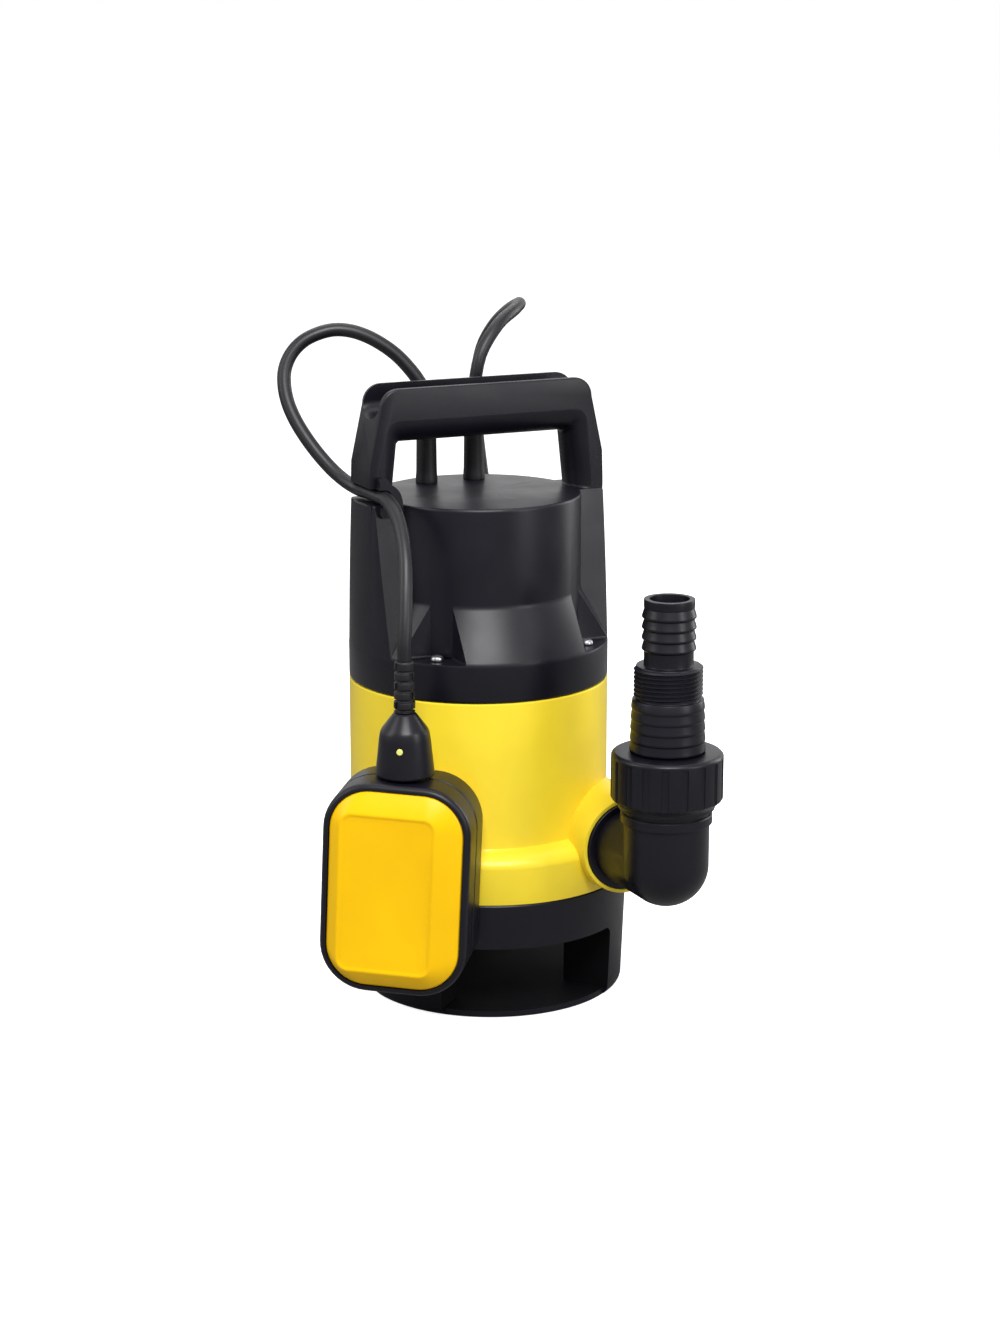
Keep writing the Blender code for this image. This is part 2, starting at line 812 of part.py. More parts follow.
def make_union_nut():
    nut = turned(
        "union_nut",
        [
            (25.4 * MM, NUT_TOP),
            (NUT_R - 0.8 * MM, NUT_TOP - 2.2 * MM),
            (NUT_R, NUT_TOP - 2.6 * MM),
            (NUT_R, 128 * MM),
            (24.6 * MM, 124.5 * MM),
            (24.6 * MM, NUT_LOW),
            (22.4 * MM, NUT_LOW),
            (22.4 * MM, 147 * MM),
            (18.8 * MM, 147 * MM),
            (18.8 * MM, NUT_TOP),
        ],
        36,
    )
    bm = bmesh.new()
    ribs = 18
    for i in range(ribs):
        turn = Matrix.Rotation(TURN * i / ribs, 4, "Z")
        place = Matrix.Translation((NUT_R + 2.2 * MM, 0, 136 * MM))
        size = Matrix.Diagonal((6 * MM, 3.6 * MM, 22 * MM, 1))
        bmesh.ops.create_cube(bm, size=1, matrix=turn @ place @ size)
    cut(nut, mesh_tool("nut_grooves", bm, smooth=False))
    nut.location = (OUTLET_X, PIPE_Y, 0)
    bpy.data.objects["nut_grooves"].location = nut.location
    return give_finish(nut, BLACK)


def barbs(top, pitch, count, neck, crest, spread=0.0):
    """Hose barbs from the top down: each slopes out to its crest, then steps back in."""
    points = []
    for i in range(count):
        high = top - pitch * i
        points.append((neck + spread * i, high))
        points.append((crest + spread * i, high - pitch * 0.85))
    return points


def make_adapter():
    thread_r = 17.6 * MM
    outer = [(12.5 * MM, ADAPTER_TOP), (12.9 * MM, ADAPTER_TOP - 0.5 * MM), (12.9 * MM, 224.1 * MM)]
    outer += barbs(224 * MM, 5.25 * MM, 4, 12.6 * MM, 13.8 * MM)
    outer += in_mm((12.6, 202.7), (12.6, 197.1), (16.5, 197))
    outer += [(thread_r, 195.9 * MM), (thread_r, 179.8 * MM)]
    outer += barbs(179.7 * MM, 5.45 * MM, 5, 17.9 * MM, 18.7 * MM, 0.17 * MM)
    outer += in_mm((18.2, 152.2), (18.2, 138), (22.1, 138), (22.1, 134.3))
    bore = in_mm((15, 134.3), (14.4, 175), (10.4, 199), (10.1, 231))
    adapter = turned("hose_adapter", outer + bore, 20)
    adapter.location = (OUTLET_X, PIPE_Y, 0)
    return give_finish(adapter, BLACK)


def make_adapter_gasket():
    gasket = turned("adapter_gasket", in_mm((21.6, 134), (21.6, 131.3), (16, 131.3), (16, 134)), 24)
    gasket.location = (OUTLET_X, PIPE_Y, 0)
    return give_finish(gasket, BLACK_RUBBER)


# Motor and impeller

def make_impeller():
    impeller = turned(
        "impeller",
        in_mm((0, 88), (39, 88), (40, 87), (40, 84.6), (12, 83.5), (9, 81), (9, 66), (0, 66)),
        24,
    )
    bm = bmesh.new()
    vanes = 6
    for i in range(vanes):
        lean = math.radians(28)
        turn = Matrix.Rotation(TURN * i / vanes, 4, "Z")
        place = Matrix.Translation((23 * MM, 0, 76.5 * MM)) @ Matrix.Rotation(lean, 4, "Z")
        size = Matrix.Diagonal((31 * MM, 2.6 * MM, 18 * MM, 1))
        bmesh.ops.create_cube(bm, size=1, matrix=turn @ place @ size)
    join(impeller, mesh_tool("vanes", bm, smooth=False))
    cut(impeller, rod("impeller_bore", 4.3 * MM, (0, 0, 60 * MM), (0, 0, 95 * MM), SMALL_ROUND))
    return give_finish(impeller, BLACK)


def make_impeller_nut():
    nut = rod("impeller_nut", 7 * MM, (0, 0, 59.5 * MM), (0, 0, 65.7 * MM), 6)
    cut(nut, rod("impeller_nut_bore", 4.3 * MM, (0, 0, 50 * MM), (0, 0, 70 * MM), SMALL_ROUND))
    return give_finish(nut, BRASS)


def make_shaft():
    shaft = turned(
        "motor_shaft",
        in_mm((0, 196), (4, 196), (4, 186), (5, 185), (5, 108), (4, 107), (4, 58), (0, 58)),
        SMALL_ROUND,
    )
    return give_finish(shaft, STEEL)


def make_ring(name, outer, inner, low, high, finish, sides=16):
    """A plain ring about the motor's axis."""
    ring = turned(name, in_mm((outer, high), (outer, low), (inner, low), (inner, high)), sides)
    return give_finish(ring, finish)


def make_motor():
    make_ring("stator_core", 42.7, 24, 122, 168, CORE_STEEL, 24)
    make_ring("upper_winding", 40, 27, 168.3, 180, COPPER)
    make_ring("lower_winding", 40, 27, 110, 121.7, COPPER)
    make_ring("rotor_core", 23.4, 5.3, 120, 170, CORE_STEEL)
    make_ring("lower_bearing", 13, 4.3, 97.3, 105.8, STEEL)
    make_ring("upper_bearing", 11, 4.3, 187.5, 194.5, STEEL)
    make_ring("shaft_seal", 9, 4.3, 89, 96.7, BLACK_RUBBER)
    can = turned(
        "motor_can",
        in_mm((44, 186), (44, 106.3), (15, 106.3), (15, 107.5), (43, 107.5), (43, 186)),
        24,
    )
    give_finish(can, STEEL)
    bracket = turned(
        "bearing_bracket",
        in_mm((14, 196), (14, 189.3), (47, 189.3), (47, 186.3), (6, 186.3), (6, 187.2))
        + in_mm((11.3, 187.2), (11.3, 196)),
        20,
    )
    give_finish(bracket, CORE_STEEL)
    capacitor = rod("capacitor", 13 * MM, (-22 * MM, -29 * MM, 202.7 * MM), (22 * MM, -29 * MM, 202.7 * MM), 24)
    give_finish(capacitor, CREAM)
    give_finish(
        block("terminal_block", (-11 * MM, 22 * MM, 189.6 * MM), (11 * MM, 34 * MM, 203 * MM)), CREAM
    )


# Float switch

def float_place(obj):
    """Hang a piece of the float, drawn about its middle, from the bell: turned and leaning a little."""
    lean = Matrix.Translation((0, 0, FLOAT_TOP)) @ Matrix.Rotation(FLOAT_LEAN, 4, "Y")
    turn = Matrix.Translation(FLOAT_AT) @ Matrix.Rotation(FLOAT_TURN, 4, "Z")
    obj.data.transform(turn @ lean @ Matrix.Translation((0, 0, -FLOAT_TALL / 2)))
    return obj


def float_ring(width, height, corner, y):
    return [(x, y, z) for x, z in rounded_rectangle(width, height, corner)]


def make_float_case():
    """The rim that holds the two covers, open from front to back."""
    half = FLOAT_THICK / 2
    sections = []
    for y, inset in ((-half, 2.5), (-half + 1.2 * MM, 0.7), (-half + 3.5 * MM, 0)):
        sections.append((y, inset * MM))
    sections += [(-y, inset) for y, inset in reversed(sections)]
    rim = loft(
        "float_case",
        [
            float_ring(FLOAT_WIDE - 2 * i, FLOAT_TALL - 2 * i, FLOAT_CORNER - i, y)
            for y, i in sections
        ],
    )
    float_place(rim)
    bore = loft(
        "float_hollow",
        [float_ring(FLOAT_WIDE - 2 * FLOAT_RIM, FLOAT_TALL - 2 * FLOAT_RIM, FLOAT_CORNER - FLOAT_RIM, y)
         for y in (-half - 2 * MM, half + 2 * MM)],
    )
    seat_low = FLOAT_AT + Vector((0, 0, 45 * MM))
    seat_high = FLOAT_AT + Vector((0, 0, 70 * MM))
    cut(rim, float_place(bore), rod("bell_seat", 7.3 * MM, seat_low, seat_high, 20))
    return give_finish(rim, BLACK)


def make_float_cover(name, side, lift):
    """A yellow tray whose border slopes up to a flat panel, raised by lift."""
    half = FLOAT_THICK / 2
    wide = FLOAT_WIDE - 2 * FLOAT_RIM - 2 * GAP
    tall = FLOAT_TALL - 2 * FLOAT_RIM - 2 * GAP
    corner = FLOAT_CORNER - FLOAT_RIM - GAP

    def section(inset, depth):
        lean = max(6 * MM, corner - inset * 0.8)
        return float_ring(wide - 2 * inset, tall - 2 * inset, lean, side * depth)

    skin = 2 * MM
    outer = [
        section(0, half - 9 * MM),
        section(0, half - 1.2 * MM),
        section(1.2 * MM, half + 0.06 * lift),
        section(11 * MM, half + 0.68 * lift),
        section(12 * MM, half + 0.91 * lift),
        section(13.5 * MM, half + lift),
    ]
    cover = loft(name, outer)
    scoop = loft(
        f"{name}_scoop",
        [
            section(skin, half - 12 * MM),
            section(skin, half - 2.5 * MM),
            section(12 * MM, half + 0.68 * lift - skin),
        ],
    )
    float_place(cover)
    cut(cover, float_place(scoop))
    return give_finish(cover, FLOAT_YELLOW)


def make_float_neck():
    """The bell that seals the cable into the float's upper edge."""
    neck = turned(
        "float_neck",
        in_mm((0, 91), (5.4, 91), (12.2, 82), (13, 78.5), (15.2, 58.1), (7, 57.8), (7, 50), (0, 50)),
        24,
    )
    neck.location = FLOAT_AT
    return give_finish(neck, BLACK)


def make_strain_relief():
    """Ribbed sleeve between the bell and the cable."""
    low = 91.3
    profile = [(0, 117.5), (4.8, 117.5)]
    ribs = 5
    pitch = 5.0
    for i in range(ribs):
        top = 116.5 - pitch * i
        crest = 5.0 + 0.12 * i
        profile += [(crest, top), (crest, top - 3.3), (4.3, top - 3.9)]
    profile += [(5.4, low), (0, low)]
    relief = turned("float_strain_relief", in_mm(*profile), SMALL_ROUND)
    relief.location = FLOAT_AT
    return give_finish(relief, BLACK_RUBBER)


def make_switch():
    """Switch capsule inside the float: a tube that a steel ball runs in, with the switch above."""
    capsule = turned(
        "switch_capsule",
        in_mm((0, 46), (10, 46), (10, 14), (8, 14), (8, -14), (0, -14)),
        20,
    )
    cut(
        capsule,
        rod("ball_run", 6.4 * MM, (0, 0, -10 * MM), (0, 0, 15 * MM), SMALL_ROUND),
        block("ball_window", (-4 * MM, -12 * MM, -10 * MM), (4 * MM, 0, 15 * MM)),
    )
    capsule.location = FLOAT_AT
    for name in ("ball_run", "ball_window"):
        bpy.data.objects[name].location = FLOAT_AT
    give_finish(capsule, CREAM)
    weight = ball("switch_ball", 5.9 * MM, (0, 0, 0), 12)
    weight.location = FLOAT_AT + Vector((0, 0, -3.8 * MM))
    give_finish(weight, STEEL)


def make_float_cables():
    """One cable: out of the left sleeve, over and round into the clip, then down to the float."""
    route = [
        (-14, 36, 308.3), (-14, 36, 315.7), (-19.5, 38.6, 326.5), (-29, 43, 338), (-42, 48, 347),
        (-55, 52.5, 351), (-67, 55.5, 349.5), (-78, 57.8, 343.5), (-85.5, 57.6, 333), (-87.6, 53.8, 320),
        (-85.6, 48, 308), (-81.5, 41.5, 297.5), (-75.5, 33, 286.5), (-69, 23.5, 277.5), (-63.6, 13.5, 272.8),
        (-61.7, 5, 272.3), (-61.6, -5.5, 272.3), (-61.6, -13.5, 272.3),
    ]
    loop = smooth_line([Vector(p) * MM for p in route], 9 * MM)
    give_finish(tube("float_cable_loop", loop, FLOAT_CABLE_R), BLACK_RUBBER)
    down = [
        (-61.6, -13.8, 272.3), (-61.6, -21.2, 272.3), (-61.8, -32, 268.6), (-62.5, -43, 259.8),
        (-64.8, -53.5, 247), (-68, -61, 232), (-70.6, -65.9, 217), (-72, -67.8, 206.2), (-72, -67.8, 198.8),
    ]
    drop = smooth_line([Vector(p) * MM for p in down], 9 * MM)
    give_finish(tube("float_cable_drop", drop, FLOAT_CABLE_R), BLACK_RUBBER)
    print("float cable length", round(length_of(loop) + length_of(drop), 4))


# Mains lead

def coil_points():
    """One unbroken tube: in along the bottom layer, up, out again, and so on through the layers."""
    inner = COIL_MEAN_R - COIL_PITCH * COIL_TURNS / 2
    outer = COIL_MEAN_R + COIL_PITCH * COIL_TURNS / 2
    start = math.radians(-115)
    per_layer = round(COIL_TURNS * LOOP_POINTS)
    half = LOOP_POINTS // 2
    total = round(COIL_LOOPS * LOOP_POINTS)
    points = []
    for i in range(total + 1):
        layer, step = divmod(i, per_layer)
        share = step / per_layer
        inward = layer % 2 == 0
        radius = outer + (inner - outer) * share if inward else inner + (outer - inner) * share
        height = MAINS_R + GAP + layer * COIL_PITCH
        to_seam = per_layer - step
        from_seam = step
        if to_seam < half / 2 and layer < COIL_LAYERS - 1:
            height += COIL_PITCH * (0.5 - to_seam / half)
        if from_seam < half / 2 and layer > 0:
            height -= COIL_PITCH * (0.5 - from_seam / half)
        angle = start - TURN * i / LOOP_POINTS
        points.append(
            COIL_AT + Vector((radius * math.cos(angle), radius * math.sin(angle), height))
        )
    first = (points[0] - points[1]).normalized()
    last = (points[-1] - points[-2]).normalized()
    first.z = 0
    last.z = 0
    return [points[0] + first * 2 * MAINS_R, *points, points[-1] + last * 2 * MAINS_R]


def least_gap(points, radius, apart=8):
    """Least clear distance between stretches of one tube that aren't neighbours."""
    least = 1.0
    for i, a in enumerate(points[:-1]):
        for j in range(i + apart, len(points) - 1):
            if (points[j] - a).length > 0.03:
                continue
            least = min(least, segment_gap(a, points[i + 1], points[j], points[j + 1]))
    return least - 2 * radius


def segment_gap(a, b, c, d):
    """Distance between two short straight pieces, sampled along both."""
    least = 1.0
    for i in range(5):
        p = a.lerp(b, i / 4)
        for j in range(5):
            least = min(least, (p - c.lerp(d, j / 4)).length)
    return least


def behind(x, y, z):
    """A point given across and away from the viewer's side of the pump, 25 degrees round to its left."""
    lean = math.radians(25)
    across = x * math.cos(lean) + y * math.sin(lean)
    away = -x * math.sin(lean) + y * math.cos(lean)
    return Vector((across, away, z)) * MM


def make_mains():
    """The lead: sleeve to coil, the coil, and its end to the plug that lies on the coil."""
    coil = coil_points()
    arrival = coil[0] + (coil[0] - coil[1]).normalized() * GAP
    leaving = coil[-1] + (coil[-1] - coil[-2]).normalized() * GAP
    upper = [Vector(p) * MM for p in (
        (14, 36, 308.3), (14, 36, 315.5), (15.2, 35.5, 324.5), (19.7, 36.1, 339.6),
        (33.8, 42, 353.4), (44, 49.5, 356.8), (56, 67, 358.5),
    )]
    lower = [behind(*p) for p in (
        (13, 110, 349), (3, 130, 333), (-2, 139, 312), (-2, 141, 285), (5, 140, 235), (20, 135, 190),
        (36, 127, 140), (46, 116, 90), (48, 107, 55), (41, 100.5, 27), (27, 98.2, 8.5),
    )]
    inward = (coil[1] - coil[0]).normalized()
    route = [*upper, *lower, arrival - inward * 7 * MM, arrival]
    lead = smooth_line(route, 3 * 2 * MAINS_R)
    give_finish(tube("mains_cable", lead, MAINS_R), BLACK_RUBBER)
    give_finish(tube("mains_cable_coil", coil, MAINS_R, 1), BLACK_RUBBER)

    outward = (coil[-1] - coil[-2]).normalized()
    tail = [leaving, leaving + outward * 7 * MM]
    for step in range(1, 6):
        angle = math.radians(90 - 30 * step)
        height = 26.6 + 22.9 * (step / 6) ** 1.1
        tail.append(behind(15 + 37 * math.cos(angle), 175 + 37 * math.sin(angle), height))
    plug_start = behind(13, 138, 49.5)
    tail += [plug_start - behind(-7, 0, 0), plug_start]
    end = smooth_line(tail, 2 * 2 * MAINS_R)
    give_finish(tube("mains_cable_tail", end, MAINS_R), BLACK_RUBBER)
    make_plug(plug_start + behind(-0.3, 0, 0), behind(-1, 0, 0).normalized())
    total = length_of(lead) + length_of(coil) + length_of(end)
    print("mains cable length", round(total, 3))
    print("least gap in the coil, mm", round(least_gap(coil, MAINS_R) / MM, 3))


def make_plug(start, along):
    """Moulded two-pin plug with a round front."""
    place = Matrix.Translation(start) @ along.to_track_quat("Z", "Y").to_matrix().to_4x4()
    plug = turned(
        "mains_plug",
        in_mm((0, 60), (18, 60), (19, 59), (19, 44), (17, 40), (11, 30), (9, 16), (6, 14), (4.6, 0), (0, 0)),
        16,
    )
    plug.matrix_world = place
    pins = [(-9.5 * MM, 0), (9.5 * MM, 0)]
    sockets = holes("pin_sockets", 2.7 * MM, pins, 53 * MM, 62 * MM, SMALL_ROUND)
    sockets.matrix_world = place
    cut(plug, sockets)
    give_finish(plug, BLACK_RUBBER)
    for i, (x, y) in enumerate(pins):
        pin = rod(f"plug_pin_{i + 1}", 2.4 * MM, (x, y, 53.3 * MM), (x, y, 78 * MM), 12)
        pin.matrix_world = place
        give_finish(pin, STEEL)


make_base()
make_suction_plate()
make_housing()
make_cover_seal()
make_cover()
make_sleeve("float_cable_sleeve", -SLEEVE_X)
make_sleeve("mains_cable_sleeve", SLEEVE_X)
for number, spot in enumerate(COVER_SCREWS):
    make_cover_screw(f"cover_screw_{number + 1}", spot)
for number, spot in enumerate(BASE_SCREWS):
    make_base_screw(f"base_screw_{number + 1}", spot)
make_elbow()
make_outlet_ring()
make_union_nut()
make_adapter_gasket()
make_adapter()
make_shaft()
make_impeller()
make_impeller_nut()
make_motor()
make_float_case()
make_float_cover("float_front_cover", -1, 3.4 * MM)
make_float_cover("float_back_cover", 1, 1.2 * MM)
make_float_neck()
make_strain_relief()
make_switch()
make_float_cables()
make_mains()
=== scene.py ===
"""Looks for the submersible sump pump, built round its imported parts."""

import math

import bmesh
import bpy
from mathutils import Matrix, Vector


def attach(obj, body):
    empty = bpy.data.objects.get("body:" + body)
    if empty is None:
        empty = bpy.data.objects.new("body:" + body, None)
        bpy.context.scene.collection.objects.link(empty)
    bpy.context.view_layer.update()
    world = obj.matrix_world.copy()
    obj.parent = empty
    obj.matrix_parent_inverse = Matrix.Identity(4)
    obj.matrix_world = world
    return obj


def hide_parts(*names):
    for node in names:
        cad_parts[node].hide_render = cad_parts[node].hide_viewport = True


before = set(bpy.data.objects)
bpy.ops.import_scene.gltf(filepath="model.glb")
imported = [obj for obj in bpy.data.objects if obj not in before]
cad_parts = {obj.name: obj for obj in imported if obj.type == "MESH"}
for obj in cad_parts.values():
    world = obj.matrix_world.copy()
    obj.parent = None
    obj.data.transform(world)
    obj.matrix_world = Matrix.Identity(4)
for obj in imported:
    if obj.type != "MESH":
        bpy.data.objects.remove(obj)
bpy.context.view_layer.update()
scene = bpy.context.scene
mm = 0.001


# The viewpoint: a 76 mm lens a metre and a half away, 25 degrees round to the pump's left side and
# a little above it, with the pump's axis just left of the middle of the view.
LOOK_ROUND = math.radians(25)
LOOK_DOWN = math.radians(13.7)
VIEW_AWAY = 1450 * mm
VIEW_HIGH = 530 * mm
VIEW_RIGHT = 11.6 * mm


def from_viewer(across, away, high):
    """A point given across, and away from the viewer beyond the pump's axis, in the pump's frame."""
    return Vector((
        across * math.cos(LOOK_ROUND) + away * math.sin(LOOK_ROUND),
        away * math.cos(LOOK_ROUND) - across * math.sin(LOOK_ROUND),
        high,
    ))


lens = bpy.data.cameras.new("view")
lens.lens = 75.8
lens.sensor_width = 36
camera = bpy.data.objects.new("view", lens)
scene.collection.objects.link(camera)
camera.location = from_viewer(VIEW_RIGHT, -VIEW_AWAY, VIEW_HIGH)
camera.rotation_euler = (math.pi / 2 - LOOK_DOWN, 0, -LOOK_ROUND)
scene.camera = camera
scene.view_settings.view_transform = "Standard"


# A white sweep under plain soft light: a large lamp high in front, weaker ones at the sides, behind
# and overhead, and a white room. The room looks white to the camera and in gloss, and gives a mild fill.
def linear(hex_colour):
    """A hex colour, as it is seen on a screen, in the linear values that shaders take."""
    values = [int(hex_colour[i:i + 2], 16) / 255 for i in (1, 3, 5)]
    return (*(v / 12.92 if v <= 0.04045 else ((v + 0.055) / 1.055) ** 2.4 for v in values), 1)


def add_node(tree, kind, inputs=(), **settings):
    """Adds a shader node, sets it up, and fills its sockets with values or with other outputs."""
    made = tree.nodes.new("ShaderNode" + kind)
    for name, value in settings.items():
        setattr(made, name, value)
    for socket, value in dict(inputs).items():
        if isinstance(value, bpy.types.NodeSocket):
            tree.links.new(value, made.inputs[socket])
        else:
            made.inputs[socket].default_value = value
    return made


world = bpy.data.worlds.new("white room")
scene.world = world
world.use_nodes = True
room = world.node_tree
room.nodes.clear()
ray = add_node(room, "LightPath")
direct = add_node(
    room, "Math", {0: ray.outputs["Is Camera Ray"], 1: ray.outputs["Is Transmission Ray"]},
    operation="MAXIMUM",
)
seen = add_node(room, "Math", {0: direct.outputs[0], 1: ray.outputs["Is Glossy Ray"]}, operation="MAXIMUM")
fill_light = add_node(room, "Background", {"Color": linear("#F1F3F6"), "Strength": 0.22})
white_back = add_node(room, "Background", {"Color": (1, 1, 1, 1), "Strength": 1.0})
room_mix = add_node(
    room, "MixShader", {0: seen.outputs[0], 1: fill_light.outputs[0], 2: white_back.outputs[0]},
)
add_node(room, "OutputWorld", {"Surface": room_mix.outputs[0]})


def soft_lamp(name, place, aim, size, power):
    """A flat lamp of a width and height in metres, turned to its aim."""
    light = bpy.data.lights.new(name, "AREA")
    light.shape = "RECTANGLE"
    light.size, light.size_y = size
    light.energy = power
    lamp = bpy.data.objects.new(name, light)
    scene.collection.objects.link(lamp)
    lamp.location = place
    lamp.rotation_euler = (Vector(aim) - Vector(place)).to_track_quat("-Z", "Y").to_euler()


middle = (0, 0, 150 * mm)
soft_lamp("front lamp", from_viewer(0.12, -0.95, 1.15), middle, (0.7, 0.55), 23)
soft_lamp("left lamp", from_viewer(-1.1, -0.35, 0.85), middle, (0.5, 0.9), 6.5)
soft_lamp("right lamp", from_viewer(1.05, -0.75, 0.55), middle, (0.35, 0.7), 6)
soft_lamp("rear lamp", from_viewer(1.1, 0.65, 0.5), middle, (0.3, 0.9), 5)
soft_lamp("overhead lamp", from_viewer(0.0, 0.25, 1.35), middle, (1.0, 0.8), 5)
soft_lamp("rim lamp", from_viewer(-0.2, 0.95, 1.15), middle, (1.1, 0.2), 3)

FLOOR_HALF = 6
FLOOR_BELOW = 0.4 * mm
floor_mesh = bpy.data.meshes.new("floor")
floor_bm = bmesh.new()
bmesh.ops.create_grid(floor_bm, x_segments=1, y_segments=1, size=FLOOR_HALF)
floor_bm.to_mesh(floor_mesh)
floor_bm.free()
floor = bpy.data.objects.new("floor", floor_mesh)
floor.location.z = -FLOOR_BELOW
scene.collection.objects.link(floor)
# White paper: to the camera it brightens away from the pump, so that it meets the room unseen. To all
# else it is a duller white, which keeps the undersides dark.
paper = bpy.data.materials.new("white paper sweep")
paper.use_nodes = True
tree = paper.node_tree
tree.nodes.clear()
ray = add_node(tree, "LightPath")
matt = add_node(tree, "BsdfDiffuse", {"Color": linear("#F4F4F4")})
at = add_node(tree, "TexCoord").outputs["Object"]
from_middle = add_node(tree, "VectorMath", {0: at}, operation="LENGTH")
rising = add_node(
    tree, "MapRange",
    {"Value": from_middle.outputs["Value"], "From Min": 0.1, "From Max": 0.7, "To Min": 0.85, "To Max": 1.0},
)
lit = add_node(tree, "Emission", {"Color": (1, 1, 1, 1), "Strength": rising.outputs[0]})
both = add_node(tree, "AddShader", {0: matt.outputs[0], 1: lit.outputs[0]})
dim = add_node(tree, "BsdfDiffuse", {"Color": linear("#9A9A9A")})
shade = add_node(tree, "MixShader", {0: ray.outputs["Is Camera Ray"], 1: dim.outputs[0], 2: both.outputs[0]})
add_node(tree, "OutputMaterial", {"Surface": shade.outputs[0]})
floor_mesh.materials.append(paper)


# The mains lead: H07RN-F rubber-sheathed cable, 7 mm across. It rises from the right-hand sleeve,
# bends over away from the handle and runs down behind the pump to a coil on the floor. GAP is the
# clearance between the pump's separate pieces.
MAINS_THICK = 7 * mm
GAP = 0.3 * mm
COIL_AT = Vector((66.8 * mm, 143.1 * mm, 0))
COIL_MEAN_R = 42 * mm
COIL_PITCH = 7.55 * mm
COIL_TURNS_A_LAYER = 4.25
COIL_LAYERS = 4
COIL_LOOPS = 16.5
COIL_START = math.radians(-115)
LOOP_POINTS = 24


def between(route, parts):
    """Points on a smooth curve through the route, from its second point on to its last but one."""
    dense = []
    for a, b, c, d in zip(route, route[1:], route[2:], route[3:]):
        for step in range(parts):
            t = step / parts
            dense.append(
                0.5 * ((2 * b) + (c - a) * t + (2 * a - 5 * b + 4 * c - d) * t**2
                       + (3 * b - a - 3 * c + d) * t**3)
            )
    return dense


def smooth_line(route, spacing):
    """A smooth curve through the route, evenly divided; its first and last pieces stay straight."""
    dense = [*between(route, 24), route[-2]]
    along = [0.0]
    for a, b in zip(dense, dense[1:]):
        along.append(along[-1] + (b - a).length)
    count = round(along[-1] / spacing)
    points = [route[0]]
    k = 0
    for i in range(count + 1):
        want = along[-1] * i / count
        while k < len(along) - 2 and along[k + 1] < want:
            k += 1
        share = (want - along[k]) / (along[k + 1] - along[k])
        points.append(dense[k].lerp(dense[k + 1], min(1, share)))
    return [*points, route[-1]]


def coil_points():
    """The coil's line: in along the floor, up a layer and out again, four layers in all."""
    reach = COIL_PITCH * COIL_TURNS_A_LAYER / 2
    per_layer = round(COIL_TURNS_A_LAYER * LOOP_POINTS)
    half = LOOP_POINTS // 2
    points = []
    for i in range(round(COIL_LOOPS * LOOP_POINTS) + 1):
        layer, step = divmod(i, per_layer)
        share = step / per_layer
        sign = 1 if layer % 2 == 0 else -1
        radius = COIL_MEAN_R + sign * reach * (1 - 2 * share)
        height = MAINS_THICK / 2 + GAP + layer * COIL_PITCH
        to_seam = per_layer - step
        if to_seam < half / 2 and layer < COIL_LAYERS - 1:
            height += COIL_PITCH * (0.5 - to_seam / half)
        if step < half / 2 and layer > 0:
            height -= COIL_PITCH * (0.5 - step / half)
        angle = COIL_START - 2 * math.pi * i / LOOP_POINTS
        points.append(COIL_AT + Vector((radius * math.cos(angle), radius * math.sin(angle), height)))
    first = (points[0] - points[1]).normalized()
    last = (points[-1] - points[-2]).normalized()
    first.z = 0
    last.z = 0
    return [points[0] + first * MAINS_THICK, *points, points[-1] + last * MAINS_THICK]


def link_piece(name, data, body, *replaced):
    """Puts a finished mesh or curve in the scene, riding on its body in place of CAD nodes."""
    piece = bpy.data.objects.new(name, data)
    scene.collection.objects.link(piece)
    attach(piece, body)
    if replaced:
        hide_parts(*replaced)
    return piece


def cable_curve(name, points, thickness, material):
    """A round cable: a smooth curve through the points, with closed ends."""
    curve = bpy.data.curves.new(name, "CURVE")
    curve.dimensions = "3D"
    curve.bevel_depth = thickness / 2
    curve.bevel_resolution = 6
    curve.use_fill_caps = True
    line = curve.splines.new("POLY")
    line.points.add(len(points) - 1)
    for point, place in zip(line.points, points):
        point.co = (*place, 1)
    line.use_smooth = True
    curve.materials.append(material)
    return curve


def moulded(name, colour, roughness, grain, depth, mottle=0.06, shine=0.5):
    """Moulded polymer: a faint drift in tone and gloss, and the fine grain of a sparked mould."""
    made = bpy.data.materials.new(name)
    made.use_nodes = True
    tree = made.node_tree
    shader = tree.nodes["Principled BSDF"]
    at = add_node(tree, "TexCoord").outputs["Object"]
    drift = add_node(
        tree, "TexNoise", {"Vector": at, "Scale": 1 / (38 * mm), "Detail": 3.0, "Roughness": 0.55},
    )
    fine = add_node(tree, "TexNoise", {"Vector": at, "Scale": 1 / grain, "Detail": 2.0, "Roughness": 0.6})
    low = tuple(c * (1 - mottle) for c in linear(colour)[:3])
    high = tuple(min(1, c * (1 + mottle)) for c in linear(colour)[:3])
    tone = add_node(tree, "MapRange", {"Value": drift.outputs["Fac"], "From Min": 0.35, "From Max": 0.65})
    paint = add_node(tree, "Mix", {"Factor": tone.outputs[0], 6: (*low, 1), 7: (*high, 1)}, data_type="RGBA")
    gloss = add_node(
        tree, "MapRange",
        {"Value": drift.outputs["Fac"], "From Min": 0.3, "From Max": 0.7,
         "To Min": roughness - 0.05, "To Max": roughness + 0.05},
    )
    bump = add_node(tree, "Bump", {"Height": fine.outputs["Fac"], "Strength": 0.5, "Distance": depth})
    tree.links.new(paint.outputs[2], shader.inputs["Base Color"])
    tree.links.new(gloss.outputs[0], shader.inputs["Roughness"])
    tree.links.new(bump.outputs[0], shader.inputs["Normal"])
    shader.inputs["IOR"].default_value = 1.5
    shader.inputs["Specular IOR Level"].default_value = shine
    return made


